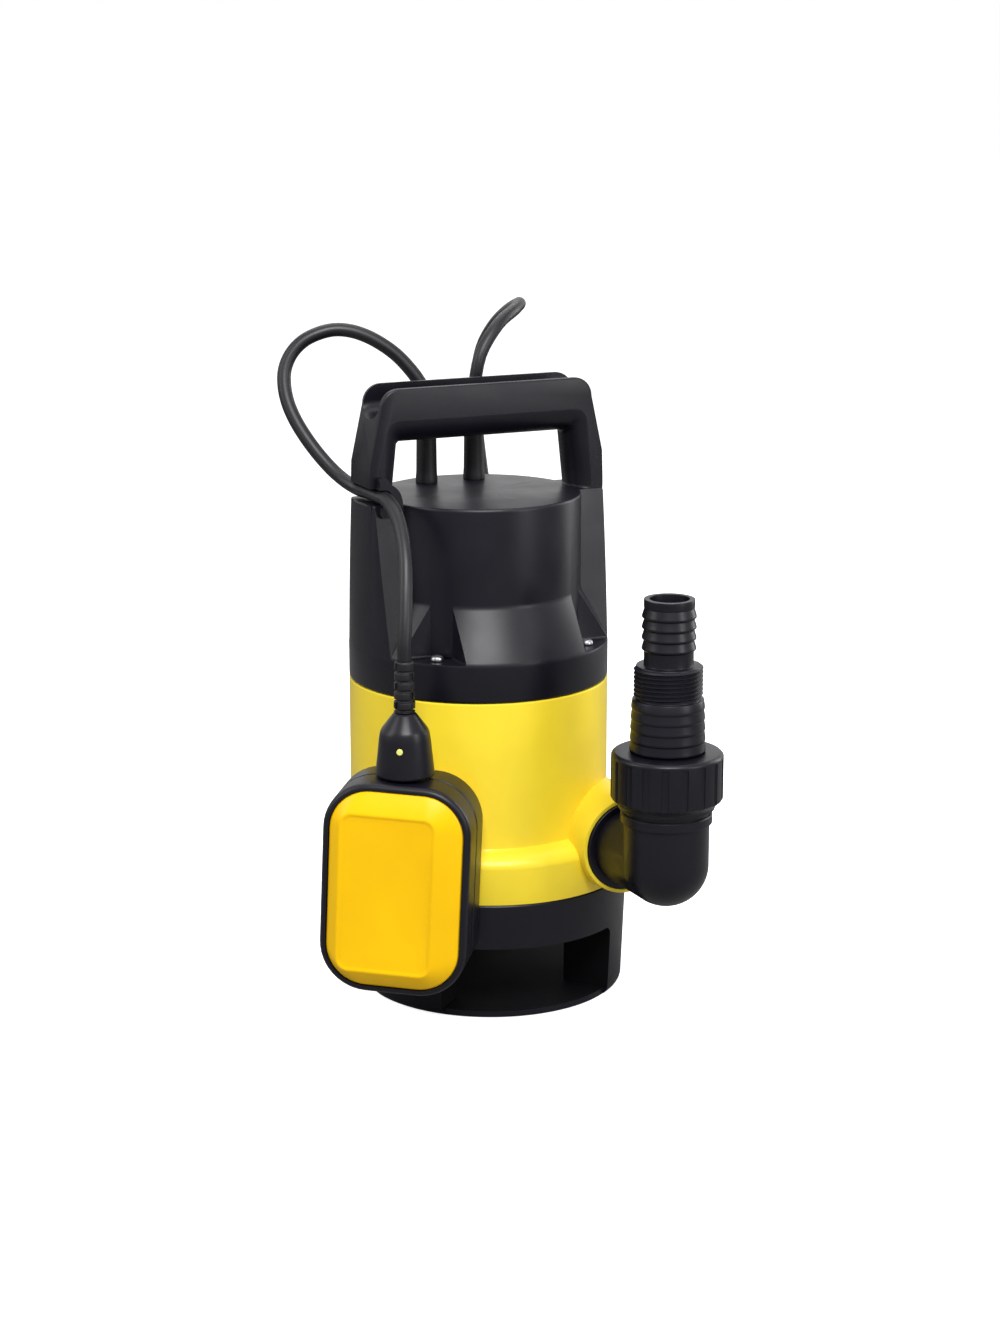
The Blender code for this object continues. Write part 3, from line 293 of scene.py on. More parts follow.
# Cable sheath: extruded rubber, black and a little greasy, and faintly uneven.
sheath = moulded("extruded rubber sheath", "#0E0D12", 0.42, 1.1 * mm, 0.05 * mm, 0.1, 0.32)

coil = coil_points()
coil_in = (coil[1] - coil[0]).normalized()
coil_out = (coil[-1] - coil[-2]).normalized()
arrival = coil[0] - coil_in * GAP
rise = [Vector(p) * mm for p in (
    (14, 36, 308.3), (14, 36, 315.5), (15.2, 35.5, 324.5), (19.7, 36.1, 339.6),
    (33.8, 42, 353.4), (44, 49.5, 356.8), (56, 67, 358.5),
)]
fall = [from_viewer(*p) * mm for p in (
    (13, 110, 349), (3, 130, 333), (-2, 139, 312), (-2, 141, 285), (5, 140, 235), (20, 135, 190),
    (36, 127, 140), (46, 116, 90), (48, 107, 55), (41, 100.5, 27), (27, 98.2, 8.5),
)]
lead = smooth_line([*rise, *fall, arrival - coil_in * MAINS_THICK, arrival], 3 * MAINS_THICK)


def refined(points, parts=4):
    """More points on a smooth curve through evenly spaced ones."""
    ends = [2 * points[0] - points[1], *points, 2 * points[-1] - points[-2]]
    return [*between(ends, parts), points[-1]]


# The last length leaves the coil in a half circle that climbs over it to the plug.
TAIL_R = 37
TAIL_LOW = 26.6
TAIL_RISE = 22.9
tail_start = coil[-1] + coil_out * GAP
tail = [tail_start, tail_start + coil_out * MAINS_THICK]
for step in range(1, 6):
    angle = math.radians(90 - 30 * step)
    height = TAIL_LOW + TAIL_RISE * (step / 6) ** 1.1
    tail.append(from_viewer(15 + TAIL_R * math.cos(angle), 175 + TAIL_R * math.sin(angle), height) * mm)
plug_start = from_viewer(13, 138, 49.5) * mm
tail += [plug_start + from_viewer(7, 0, 0) * mm, plug_start]


# Mains plug: soft PVC moulded over the cable's end, with a ribbed neck and a grip that flares to a
# round front, and two plated pins.
def soft_corners(corners, soft, closed=False, steps=4):
    """A profile whose corners are drawn as short curves, as a mould's corners are."""
    corners = [Vector(corner) for corner in corners]
    ends = [] if closed else [corners[0]]
    around = [corners[-1], *corners, corners[0]] if closed else corners
    points = list(ends)
    for before, corner, after in zip(around, around[1:], around[2:]):
        back = before - corner
        on = after - corner
        reach = min(soft, back.length * 0.45, on.length * 0.45)
        start = corner + back.normalized() * reach
        end = corner + on.normalized() * reach
        for step in range(steps + 1):
            t = step / steps
            points.append(start * (1 - t) ** 2 + corner * 2 * t * (1 - t) + end * t**2)
    return points if closed else [*points, corners[-1]]


def in_mm(*pairs):
    """Pairs of numbers, in millimetres."""
    return [(a * mm, b * mm) for a, b in pairs]


def spun(profile, sides=96, closed=False):
    """A shape turned about Z from a profile of (radius, height) points."""
    bm = bmesh.new()
    line = [bm.verts.new((radius, 0, height)) for radius, height in profile]
    pairs = list(zip(line, line[1:]))
    if closed:
        pairs.append((line[-1], line[0]))
    edges = [bm.edges.new(pair) for pair in pairs]
    bmesh.ops.spin(bm, geom=[*line, *edges], cent=(0, 0, 0), axis=(0, 0, 1), angle=2 * math.pi,
                   steps=sides, use_merge=True)
    return bm


WELD = 0.002 * mm


def finish_mesh(name, bm, material=None, sharp=32):
    """Closes the seams, turns the faces outwards and shades the surface smooth between its edges."""
    bmesh.ops.remove_doubles(bm, verts=bm.verts, dist=WELD)
    bmesh.ops.recalc_face_normals(bm, faces=bm.faces)
    if bm.calc_volume(signed=True) < 0:
        bmesh.ops.reverse_faces(bm, faces=bm.faces)
    mesh = bpy.data.meshes.new(name)
    bm.to_mesh(mesh)
    bm.free()
    mesh.shade_smooth()
    mesh.set_sharp_from_angle(angle=math.radians(sharp))
    if material:
        mesh.materials.append(material)
    return mesh


def shaped(name, mesh, *changes, material=None, sharp=32):
    """A mesh cut by, joined to or kept within others; each change is an operation and a mesh."""
    blank = bpy.data.objects.new(name, mesh)
    scene.collection.objects.link(blank)
    used = [blank]
    for operation, other in changes:
        tool = bpy.data.objects.new("tool", other)
        scene.collection.objects.link(tool)
        used.append(tool)
        change = blank.modifiers.new("change", "BOOLEAN")
        change.operation = operation
        change.object = tool
        change.solver = "EXACT"
    bpy.context.view_layer.update()
    made = bpy.data.meshes.new_from_object(blank.evaluated_get(bpy.context.evaluated_depsgraph_get()))
    for item in used:
        bpy.data.objects.remove(item, do_unlink=True)
    bm = bmesh.new()
    bm.from_mesh(made)
    bmesh.ops.remove_doubles(bm, verts=bm.verts, dist=WELD)
    bmesh.ops.dissolve_degenerate(bm, edges=bm.edges, dist=WELD)
    bm.to_mesh(made)
    bm.free()
    made.name = name
    made.materials.clear()
    if material:
        made.materials.append(material)
    made.shade_smooth()
    made.set_sharp_from_angle(angle=math.radians(sharp))
    return made


# Moulded PVC: near black, soft to the touch, so its highlights are broad and dull.
soft_pvc = moulded("moulded soft PVC", "#0D0C11", 0.5, 0.9 * mm, 0.05 * mm, 0.08, 0.3)


def metal(name, colour, roughness, line=0.5 * mm, depth=0.01 * mm, mottle=0.08):
    """Metal with its machining or drawing marks."""
    made = moulded(name, colour, roughness, line, depth, mottle)
    made.node_tree.nodes["Principled BSDF"].inputs["Metallic"].default_value = 1.0
    return made


# Nickel-plated brass: bright and smooth, with faint drawing marks.
plated_pin = metal("nickel plated brass", "#C9C8C4", 0.2, 0.4 * mm, 0.01 * mm, 0.05)

plug_along = from_viewer(-1, 0, 0).normalized()
plug_at = Matrix.Translation(plug_start + from_viewer(-0.3, 0, 0) * mm)
plug_at = plug_at @ plug_along.to_track_quat("Z", "Y").to_matrix().to_4x4()
plug_line = in_mm((0, 60), (18, 60), (19, 59), (19, 44), (17, 40), (11, 30), (9.4, 16), (8.6, 15))
for rib in range(5):
    low = 13.2 - 2.6 * rib
    plug_line += in_mm((7.6 - 0.55 * rib, low + 1.5), (6.4 - 0.4 * rib, low + 0.8), (6.4 - 0.4 * rib, low))
plug_line += in_mm((4.6, 1.4), (4.4, 0), (0, 0))
plug_bm = spun(soft_corners(plug_line, 0.9 * mm, steps=3), 72)
bmesh.ops.transform(plug_bm, matrix=plug_at, verts=plug_bm.verts)
plug = link_piece("plug_body", finish_mesh("plug_body", plug_bm, soft_pvc), "pump", "mains_plug")
PIN_ASIDE = 9.5 * mm
pin_line = in_mm((0, 53.3), (2.4, 53.3), (2.4, 78), (0, 78))
for number, side in ((1, -PIN_ASIDE), (2, PIN_ASIDE)):
    pin_bm = spun(soft_corners(pin_line, 0.8 * mm), 32)
    bmesh.ops.transform(pin_bm, matrix=plug_at @ Matrix.Translation((side, 0, 0)), verts=pin_bm.verts)
    pin_mesh = finish_mesh(f"contact_pin_{number}", pin_bm, plated_pin)
    link_piece(f"contact_pin_{number}", pin_mesh, "pump", f"plug_pin_{number}")

lead_line = [*refined(lead), *refined(coil, 2), *refined(smooth_line(tail, 2 * MAINS_THICK))]
mains_lead = link_piece(
    "mains_lead", cable_curve("mains_lead", lead_line, MAINS_THICK, sheath), "pump",
    "mains_cable", "mains_cable_coil", "mains_cable_tail",
)


# Float switch lead: the same rubber sheath, a little thicker. One length leaves the left bush, bows
# out to the left and is pressed into the slot in the handle's leg; beyond it the rest hangs free.
FLOAT_CABLE_THICK = 7.4 * mm
loop_route = [Vector(p) * mm for p in (
    (-14, 36, 308.3), (-14, 36, 315.7), (-19.5, 38.6, 326.5), (-29, 43, 338), (-42, 48, 347),
    (-55, 52.5, 351), (-67, 55.5, 349.5), (-78, 57.8, 343.5), (-85.5, 57.6, 333), (-87.6, 53.8, 320),
    (-85.6, 48, 308), (-81.5, 41.5, 297.5), (-75.5, 33, 286.5), (-69, 23.5, 277.5), (-63.6, 13.5, 272.8),
    (-61.7, 5, 272.3), (-61.6, -5.5, 272.3), (-61.6, -13.5, 272.3),
)]
drop_route = [Vector(p) * mm for p in (
    (-61.6, -13.8, 272.3), (-61.6, -21.2, 272.3), (-61.8, -32, 268.6), (-62.5, -43, 259.8),
    (-64.8, -53.5, 247), (-68, -61, 232), (-70.6, -65.9, 217), (-72, -67.8, 206.2), (-72, -67.8, 198.8),
)]
for name, body, route, node in (
    ("float_lead_loop", "pump", loop_route, "float_cable_loop"),
    ("float_lead_drop", "float", drop_route, "float_cable_drop"),
):
    line = refined(smooth_line(route, 9 * mm))
    piece = link_piece(name, cable_curve(name, line, FLOAT_CABLE_THICK, sheath), body, node)


# Strainer base: black polypropylene, a ring on three legs and a bottom plate in one moulding. The pump
# draws its water in through the windows between the legs. Its centre is off the motor's axis, as the
# scroll's is above it.
SCROLL_AT = Vector((4.7, -5.6, 0)) * mm
SCROLL_FOOT_R = 71.2 * mm
SCROLL_DRAFT = 0.039
PLATE_TOP = 3.6 * mm
WINDOW_TOP = 39.2 * mm
WINDOW_HALF = math.radians(41.7)
WINDOW_SOFT = 5 * mm
FOOT_SOFT = 4 * mm
TRIM_HALF = math.radians(41)
INLET_R = 52 * mm
SEAT_R = 62.4 * mm
LEG_R = 58 * mm
SCREW_HOLE_R = 2.3 * mm
LEDGE_TOP = 54 * mm
BASE_TOP = 63.3 * mm


def scroll_r(height):
    """The outer radius of the base and the scroll, which widen a little upwards."""
    return SCROLL_FOOT_R + SCROLL_DRAFT * height


def extruded(outline, along):
    """A solid made by pushing a flat outline of points along a line."""
    bm = bmesh.new()
    face = bm.faces.new([bm.verts.new(point) for point in outline])
    pushed = bmesh.ops.extrude_face_region(bm, geom=[face], use_keep_orig=True)
    verts = [item for item in pushed["geom"] if isinstance(item, bmesh.types.BMVert)]
    bmesh.ops.translate(bm, verts=verts, vec=along)
    return bm


def round_over(bm, chosen, width, segments=5):
    """Bevels the edges whose two ends pass the test."""
    edges = [edge for edge in bm.edges if all(chosen(vert.co) for vert in edge.verts)]
    bmesh.ops.bevel(bm, geom=edges, offset=width, segments=segments, profile=0.5, affect="EDGES",
                    material=-1, clamp_overlap=True)


def quarter(centre, radius, start, steps=8):
    """Points round a quarter circle."""
    return [
        (centre[0] + radius * math.cos(start + math.pi / 2 * step / steps),
         centre[1] + radius * math.sin(start + math.pi / 2 * step / steps))
        for step in range(steps + 1)
    ]


def lofted(sections):
    """A solid through rings of points: the first is drawn, pushed on to each next one, and capped."""
    bm = bmesh.new()
    ring = [bm.verts.new(point) for point in sections[0]]
    edges = [bm.edges.new((a, b)) for a, b in zip(ring, [*ring[1:], ring[0]])]
    bmesh.ops.contextual_create(bm, geom=edges)
    for section in sections[1:]:
        pushed = bmesh.ops.extrude_edge_only(bm, edges=edges)["geom"]
        edges = [item for item in pushed if isinstance(item, bmesh.types.BMEdge)]
        fresh = {v for v in pushed if isinstance(v, bmesh.types.BMVert)}
        edges = [edge for edge in edges if all(v in fresh for v in edge.verts)]
        follow = {}
        for vert in fresh:
            before = next(e.other_vert(vert) for e in vert.link_edges if e.other_vert(vert) not in fresh)
            follow[before] = vert
        ring = [follow[vert] for vert in ring]
        for vert, place in zip(ring, section):
            vert.co = place
    bmesh.ops.contextual_create(bm, geom=edges)
    return bm


def window_tool(angle):
    """A window between two legs, with its upper corners rounded."""
    corner = [(WINDOW_HALF + (x - WINDOW_SOFT) / scroll_r(WINDOW_TOP), z)
              for x, z in quarter((0, WINDOW_TOP - WINDOW_SOFT), WINDOW_SOFT, 0)]
    sweep = [WINDOW_HALF * (step / 12 - 1) for step in range(25)]
    outline = [(a, PLATE_TOP) for a in sweep] + corner
    outline += [(a, WINDOW_TOP) for a in reversed(sweep[2:-2])] + [(-a, z) for a, z in reversed(corner)]
    bm = lofted([
        [(SCROLL_AT.x + reach * math.cos(angle + a), SCROLL_AT.y + reach * math.sin(angle + a), z)
         for a, z in outline]
        for reach in (40 * mm, 110 * mm)
    ])
    bmesh.ops.triangulate(bm, faces=bm.faces[:])
    return finish_mesh("window", bm)


def plate_trim(angle):
    """What is taken off the bottom plate between two legs, which stand out beyond it."""
    spread = [angle + TRIM_HALF * (step / 16 - 1) for step in range(33)]
    outline = [(reach * math.cos(a), reach * math.sin(a), -1 * mm)
               for reach, way in ((SCROLL_FOOT_R - 2.4 * mm, 1), (92 * mm, -1)) for a in spread[::way]]
    bm = extruded(outline, (0, 0, PLATE_TOP + 2 * mm))
    bmesh.ops.translate(bm, verts=bm.verts, vec=SCROLL_AT)
    return finish_mesh("trim", bm)


def rod(radius, start, end, sides=96, soft=0.0):
    """A round bar between two points."""
    run = Vector(end) - Vector(start)
    line = [(0, 0), (radius, 0), (radius, run.length), (0, run.length)]
    bm = spun(soft_corners(line, soft) if soft else line, sides)
    turn = run.to_track_quat("Z", "Y").to_matrix().to_4x4()
    bmesh.ops.transform(bm, matrix=Matrix.Translation(start) @ turn, verts=bm.verts)
    return finish_mesh("rod", bm)


def drills(radius, places, low, high, sides=24):
    """Several upright round holes in one tool."""
    bm = bmesh.new()
    for x, y in places:
        bmesh.ops.create_cone(
            bm, cap_ends=True, segments=sides, radius1=radius, radius2=radius, depth=high - low,
            matrix=Matrix.Translation((x, y, (low + high) / 2)),
        )
    return finish_mesh("drills", bm)


# Polypropylene: black with a cold cast, moulded satin, so long highlights stay soft.
black_moulding = moulded("satin black polypropylene", "#0B0A12", 0.36, 0.7 * mm, 0.035 * mm, 0.08, 0.24)

foot = scroll_r(0)
base_line = [(0, 0), *quarter((foot - FOOT_SOFT, FOOT_SOFT), FOOT_SOFT, -math.pi / 2)]
base_line += [(scroll_r(BASE_TOP), BASE_TOP - 0.6 * mm), (scroll_r(BASE_TOP) - 0.5 * mm, BASE_TOP)]
base_line.append((0, BASE_TOP))
base_bm = spun(base_line, 180)
bmesh.ops.translate(base_bm, verts=base_bm.verts, vec=SCROLL_AT)
WINDOWS = [math.radians(a) for a in (25.3, 145.3, 265.3)]
LEGS = [math.radians(a) for a in (85.3, 205.3, 325.3)]
leg_places = [(LEG_R * math.cos(a), LEG_R * math.sin(a)) for a in LEGS]
base_mesh = shaped(
    "strainer", finish_mesh("strainer", base_bm),
    ("DIFFERENCE", rod(INLET_R, (0, 0, PLATE_TOP), (0, 0, 58 * mm))),
    ("DIFFERENCE", rod(SEAT_R, (0, 0, LEDGE_TOP), (0, 0, 66 * mm))),
    *[("DIFFERENCE", window_tool(a)) for a in WINDOWS],
    *[("DIFFERENCE", plate_trim(a)) for a in WINDOWS],
    ("DIFFERENCE", drills(4.5 * mm, leg_places, -1 * mm, 44 * mm, 48)),
    ("DIFFERENCE", drills(SCREW_HOLE_R, leg_places, 43 * mm, 60 * mm)),
    material=black_moulding,
)
# Painted shade: the base's inner faces get a darker, duller black than the outside, standing for the shade
# inside the strainer.
painted_shade_black = moulded("black polypropylene with painted shade", "#060608", 0.7, 0.5 * mm, 0.06 * mm, 0.1, 0.08)
base_mesh.materials.append(painted_shade_black)
# Faces inside the strainer, above the plate and below the ledge, take the darker black as painted shade.
for face in base_mesh.polygons:
    reach = (face.center - SCROLL_AT).to_2d().length
    inside = reach < scroll_r(face.center.z) - 0.8 * mm
    if inside and PLATE_TOP - 0.1 * mm < face.center.z < LEDGE_TOP:
        face.material_index = 1
link_piece("strainer", base_mesh, "pump", "strainer_base")


# Suction plate, impeller, motor and seals: the plate and the impeller are black mouldings, seen at most
# through the windows. All these sit inside and keep their plain solids, each in its own finish.
def dress(material, *nodes):
    """Gives CAD nodes that stay in the scene their material."""
    for node in nodes:
        for slot in bpy.data.objects[node].material_slots:
            slot.material = material


# Zinc plated steel for turned, pressed and threaded parts.
steel = metal("zinc plated steel", "#A0A1A4", 0.34)
# The motor's own finishes: varnished stacks, enamelled windings, a brass nut, cream fittings and rubber.
lamination = metal("varnished steel laminations", "#6E6F73", 0.45, 0.6 * mm, 0.05 * mm)
copper = metal("enamelled copper wire", "#B5652F", 0.35, 1.2 * mm, 0.2 * mm)
brass = metal("turned brass", "#C9A24C", 0.28)
cream = moulded("cream moulded polymer", "#DCD4BC", 0.45, 0.6 * mm, 0.03 * mm)
rubber = moulded("moulded nitrile rubber", "#161618", 0.6, 0.8 * mm, 0.04 * mm)
dress(black_moulding, "suction_plate", "impeller")
dress(brass, "impeller_nut")
dress(steel, "motor_shaft", "motor_can", "lower_bearing", "upper_bearing", "bearing_bracket")
dress(lamination, "stator_core", "rotor_core")
dress(copper, "upper_winding", "lower_winding")
dress(cream, "capacitor", "terminal_block", "switch_capsule")
dress(rubber, "shaft_seal", "cover_seal", "outlet_o_ring", "adapter_gasket")
dress(steel, "base_screw_1", "base_screw_2", "base_screw_3", "switch_ball")


# Pump housing: yellow polypropylene in one moulding, the motor's chamber above and the scroll below,
# which stands out towards the front right. The outlet boss grows from it and points to the front.
BODY_R = 69.3 * mm
BODY_SIDES = 240
HOUSING_BOTTOM = 63.6 * mm
HOUSING_TOP = 169.7 * mm
SCROLL_TOP = 92 * mm
OUTLET = Vector((47.8, 0, 90)) * mm
BOSS_R = 26 * mm
BOSS_FACE = -84 * mm
SHOULDER_DROP = 9 * mm
SHOULDER_RUN = 15.8 * mm
BLEND = 2.8 * mm
VOLUTE_R = 45 * mm
VOLUTE_GROWTH = 8.6 * mm
VOLUTE_TONGUE = math.radians(-75)
VOLUTE_SHARE = 31 / 36
PASSAGE_R = 13.5 * mm

# Yellow polypropylene: warm and even, satin, its tone drifting faintly where the melt met.
yellow_moulding = moulded("satin yellow polypropylene", "#EACF30", 0.38, 0.8 * mm, 0.03 * mm, 0.03, 0.32)


def shell_ring(height, inset=0.0):
    """The housing's outline at one height: the body, and the scroll blended in where it stands out."""
    rise = min(max((height - SCROLL_TOP + SHOULDER_DROP) / SHOULDER_DROP, 0.0), 1.0)
    scroll = scroll_r(min(height, SCROLL_TOP)) - SHOULDER_RUN * (1 - math.sqrt(1 - rise * rise))
    ring = []
    for step in range(BODY_SIDES):
        angle = 2 * math.pi * step / BODY_SIDES
        out = Vector((math.cos(angle), math.sin(angle), 0))
        along = SCROLL_AT.dot(out)
        reach = along + math.sqrt(scroll**2 - SCROLL_AT.length_squared + along**2)
        near = max(BLEND - abs(reach - BODY_R), 0.0)
        far = max(reach, BODY_R) + near * near / (4 * BLEND) - inset
        ring.append((far * out.x, far * out.y, height))
    return ring


soft_edge = ((0.0, 0.5 * mm), (0.15 * mm, 0.15 * mm), (0.5 * mm, 0.0))
rings = [(HOUSING_BOTTOM + rise, inset) for rise, inset in soft_edge]
rings += [(SCROLL_TOP - SHOULDER_DROP * math.cos(math.pi * step / 32), 0.0) for step in range(17)]
rings += [(SCROLL_TOP + 1 * mm, 0.0), (SCROLL_TOP + 2 * mm, 0.0), (HOUSING_TOP - 1 * mm, 0.0)]
rings += [(HOUSING_TOP - drop, inset) for drop, inset in reversed(soft_edge)]
shell_bm = lofted([shell_ring(height, inset) for height, inset in rings])
boss_line = [(0, 14 * mm - BOSS_R), *quarter((0, 14 * mm), BOSS_R, -math.pi / 2, 16)[1:]]
boss_line += [(BOSS_R, -BOSS_FACE - 0.8 * mm), (BOSS_R - 0.3 * mm, -BOSS_FACE - 0.2 * mm)]
boss_line += [(BOSS_R - 0.9 * mm, -BOSS_FACE), (0, -BOSS_FACE)]
socket_line = in_mm((0, 62), (20.3, 62), (20.3, 80), (24, 80), (24, 95), (0, 95))
boss_bm = spun(boss_line, 128)
socket_bm = spun(socket_line, 112)
to_outlet = Matrix.Translation(OUTLET) @ Matrix.Rotation(math.pi / 2, 4, "X")
for bm in (boss_bm, socket_bm):
    bmesh.ops.transform(bm, matrix=to_outlet, verts=bm.verts)
# The motor's chamber is open at the top, and the scroll's at the bottom, growing towards the outlet.
bay_line = in_mm((0, 175), (66, 175), (66, 168), (57, 168), (57, 150), (65, 145), (65, 106), (13.3, 106))
bay_line += in_mm((13.3, 97), (9.3, 97), (9.3, 80), (0, 80))
volute = []
for step in range(96):
    angle = 2 * math.pi * step / 96
    share = ((VOLUTE_TONGUE - angle) / (2 * math.pi)) % 1
    back = (1 - share) / (1 - VOLUTE_SHARE)
    grown = share / VOLUTE_SHARE if share < VOLUTE_SHARE else back * back * (3 - 2 * back)
    reach = VOLUTE_R + VOLUTE_GROWTH * grown
    volute.append((reach * math.cos(angle), reach * math.sin(angle), 60 * mm))


def out_by(distance):
    """A place on the outlet's axis, so many millimetres in front of the pump's middle."""
    return OUTLET + Vector((0, -distance * mm, 0))


housing_mesh = shaped(
    "pump_shell", finish_mesh("pump_shell", shell_bm),
    ("UNION", finish_mesh("boss", boss_bm)),
    ("DIFFERENCE", finish_mesh("socket", socket_bm)),
    ("DIFFERENCE", finish_mesh("bay", spun(bay_line, 128))),
    ("DIFFERENCE", finish_mesh("volute", extruded(volute, (0, 0, SCROLL_TOP - 60.3 * mm)))),
    ("DIFFERENCE", rod(PASSAGE_R, out_by(5), out_by(70), 72)),
    material=yellow_moulding, sharp=28,
)
link_piece("pump_shell", housing_mesh, "pump", "pump_housing")


# Top cover: black polypropylene, the cap, its sloped skirt, two wings and the hollow-backed handle in
# one moulding. Four screws in the skirt's square pockets hold it down on the housing.
CAP_TOP = 268.5 * mm
CAP_R = 54.6 * mm
POCKET_FLOOR = 190 * mm
SKIRT_TOP = 217 * mm
COVER_BOTTOM = 170 * mm
HANDLE_HALF = 13.5 * mm
GRIP_UNDER = 298.5 * mm
HANDLE_ROOT = 271 * mm
TROUGH_HALF = 10.5 * mm
TROUGH_FLOOR = 312 * mm
CLIP = Vector((-61.6, -13.65, 272.3)) * mm
CLIP_R = 4.4 * mm
POCKET_AT = 57 * mm
POCKET_WIDE = 46 * mm
POCKET_TALL = 35 * mm


def drawn_back(y, half, depth):
    """How far a rolled edge has drawn back at y from the middle of its width."""
    share = min(1, abs(y) / half)
    return depth * (1 - math.sqrt(1 - share * share))


def opening_section(y):
    """The hand opening at depth y: it widens towards both faces, so that its edge is rolled."""
    leg = drawn_back(y, HANDLE_HALF, 9.5 * mm)
    low = 51.5 * mm + leg
    high = 48.5 * mm + leg
    top = GRIP_UNDER + drawn_back(y, HANDLE_HALF, 13 * mm)
    bend = 2.5 * mm + drawn_back(y, HANDLE_HALF, 5 * mm)
    floor = CAP_TOP - 1 * mm
    line = quarter((low - 2 * mm, floor + 2 * mm), 2 * mm, -math.pi / 2, 5)
    line += quarter((high - bend, top - bend), bend, 0)
    return [(x, y, z) for x, z in line] + [(-x, y, z) for x, z in reversed(line)]


def trough_section(y):
    """The recess along the grip at depth y: it rolls over into the outer sides of the legs."""
    floor = TROUGH_FLOOR + drawn_back(y, TROUGH_HALF, 7 * mm)
    roll = quarter((57 * mm, floor - 10 * mm), 10 * mm, 0)
    line = [(90 * mm, floor - 10 * mm), *roll]
    ring = line + [(-x, z) for x, z in reversed(line)]
    return [(x, y, z) for x, z in [*ring, (-90 * mm, 345 * mm), (90 * mm, 345 * mm)]]


def add_block(bm, place, wide, deep, tall):
    """Adds a block to a mesh, with its middle at the place."""
    bmesh.ops.create_cube(bm, size=1, matrix=place @ Matrix.Diagonal((wide, deep, tall, 1)))


def spaced(half, count=16):
    """Depths from face to face, closer together towards the faces."""
    return [half * math.sin(math.pi * (step / count - 0.5)) for step in range(count + 1)]


cover_line = [
    (0, CAP_TOP), (CAP_R, CAP_TOP), (CAP_R, SKIRT_TOP), (BODY_R, POCKET_FLOOR), (BODY_R, COVER_BOTTOM),
    (0, COVER_BOTTOM),
]
hollow_line = in_mm((0, 264.5), (50.5, 264.5), (50.5, 204), (56, 186), (56, 160), (0, 160))
cap_mesh = finish_mesh("cap", spun(soft_corners(cover_line, 1.6 * mm), BODY_SIDES))
pockets = []
for sx in (1, -1):
    for sy in (1, -1):
        place = Matrix.Translation((sx * POCKET_AT, sy * POCKET_AT, POCKET_FLOOR + POCKET_TALL / 2))
        pocket_bm = bmesh.new()
        add_block(pocket_bm, place, POCKET_WIDE, POCKET_WIDE, POCKET_TALL)
        bmesh.ops.bevel(pocket_bm, geom=pocket_bm.edges[:], offset=1.2 * mm, segments=4, profile=0.5,
                        affect="EDGES", material=-1)
        core = rod(CAP_R - 0.02 * mm, (0, 0, 180 * mm), (0, 0, 230 * mm), BODY_SIDES)
        pockets.append(shaped("pocket", finish_mesh("pocket", pocket_bm), ("DIFFERENCE", core)))

wing_line = in_mm((0, 268), (67.8, 268), (69.2, 188), (0, 188))
wings = finish_mesh("wings", spun(soft_corners(wing_line, 1.2 * mm), BODY_SIDES))
slab = [(-80 * mm, y * mm, z * mm) for y, z in ((-30, 182), (30, 182), (15.5, 273), (-15.5, 273))]
wings = shaped("wings", wings, ("INTERSECT", finish_mesh("slab", extruded(slab, (160 * mm, 0, 0)))))

handle_side = in_mm((56, 250), (66.6, 264), (67.5, 272), (67, 288))
handle_side += quarter((50.5 * mm, 317.5 * mm), 10 * mm, 0)
handle_side += [(-x, z) for x, z in reversed(handle_side)]
handle_bm = extruded([(x, -HANDLE_HALF, z) for x, z in handle_side], (0, 2 * HANDLE_HALF, 0))
round_over(handle_bm, lambda p: p.y < -HANDLE_HALF + 0.1 * mm and p.z > HANDLE_ROOT, 1.1 * mm, 4)
round_over(handle_bm, lambda p: p.y > HANDLE_HALF - 0.1 * mm and p.z > HANDLE_ROOT, 1.1 * mm, 4)
guide_line = in_mm(
    (-64, 283), (-60.5, 283), (-58.1, 279.6), (-55, 277.6), (-52.6, 274.6), (-51.4, 270.5), (-50.8, 262),
    (-64, 262),
)
guide_line = soft_corners(guide_line, 3 * mm, closed=True)
guide_bm = extruded([(p.x, -19.4 * mm, p.y) for p in guide_line], (0, 10.4 * mm, 0))
slot_end = [(-90 * mm, CLIP.z + CLIP_R), (-90 * mm, CLIP.z - CLIP_R)]
slot_end += quarter((CLIP.x, CLIP.z), CLIP_R, -math.pi / 2) + quarter((CLIP.x, CLIP.z), CLIP_R, 0)[1:]
notch = [(x, -24 * mm, z) for x, z in slot_end]
depths = (-HANDLE_HALF - 0.6 * mm, *spaced(HANDLE_HALF - 0.02 * mm), HANDLE_HALF + 0.6 * mm)
handle = shaped(
    "handle", finish_mesh("handle", handle_bm),
    ("UNION", finish_mesh("guide", guide_bm)),
    ("DIFFERENCE", finish_mesh("opening", lofted([opening_section(y) for y in depths]))),
    ("DIFFERENCE", finish_mesh("trough", lofted([trough_section(y) for y in spaced(TROUGH_HALF)]))),
    ("DIFFERENCE", finish_mesh("notch", extruded(notch, (0, 48 * mm, 0)))),
)
# Shallow sink lines in the cap's top, over the ribs that stiffen it from below.
sink_lines = bmesh.new()
for x, y, long, wide, turn in ((-21, 9, 40, 0.9, 2), (33, 12, 44, 0.9, -7), (5, -17, 36, 0.9, 88)):
    place = Matrix.Translation((x * mm, y * mm, CAP_TOP + 0.3 * mm))
    place = place @ Matrix.Rotation(math.radians(turn), 4, "Z")
    place = place @ Matrix.Diagonal((long * mm, wide * mm, 1 * mm, 1)) @ Matrix.Rotation(math.pi / 4, 4, "Z")
    bmesh.ops.create_cone(sink_lines, cap_ends=True, segments=4, radius1=0.0002 * mm,
                          radius2=math.sqrt(0.5), depth=1, matrix=place)
BUSH_ASIDE = 14 * mm
BUSH_BACK = 36 * mm
SCREWS_R = 61 * mm
bush_places = [(-BUSH_ASIDE, BUSH_BACK), (BUSH_ASIDE, BUSH_BACK)]
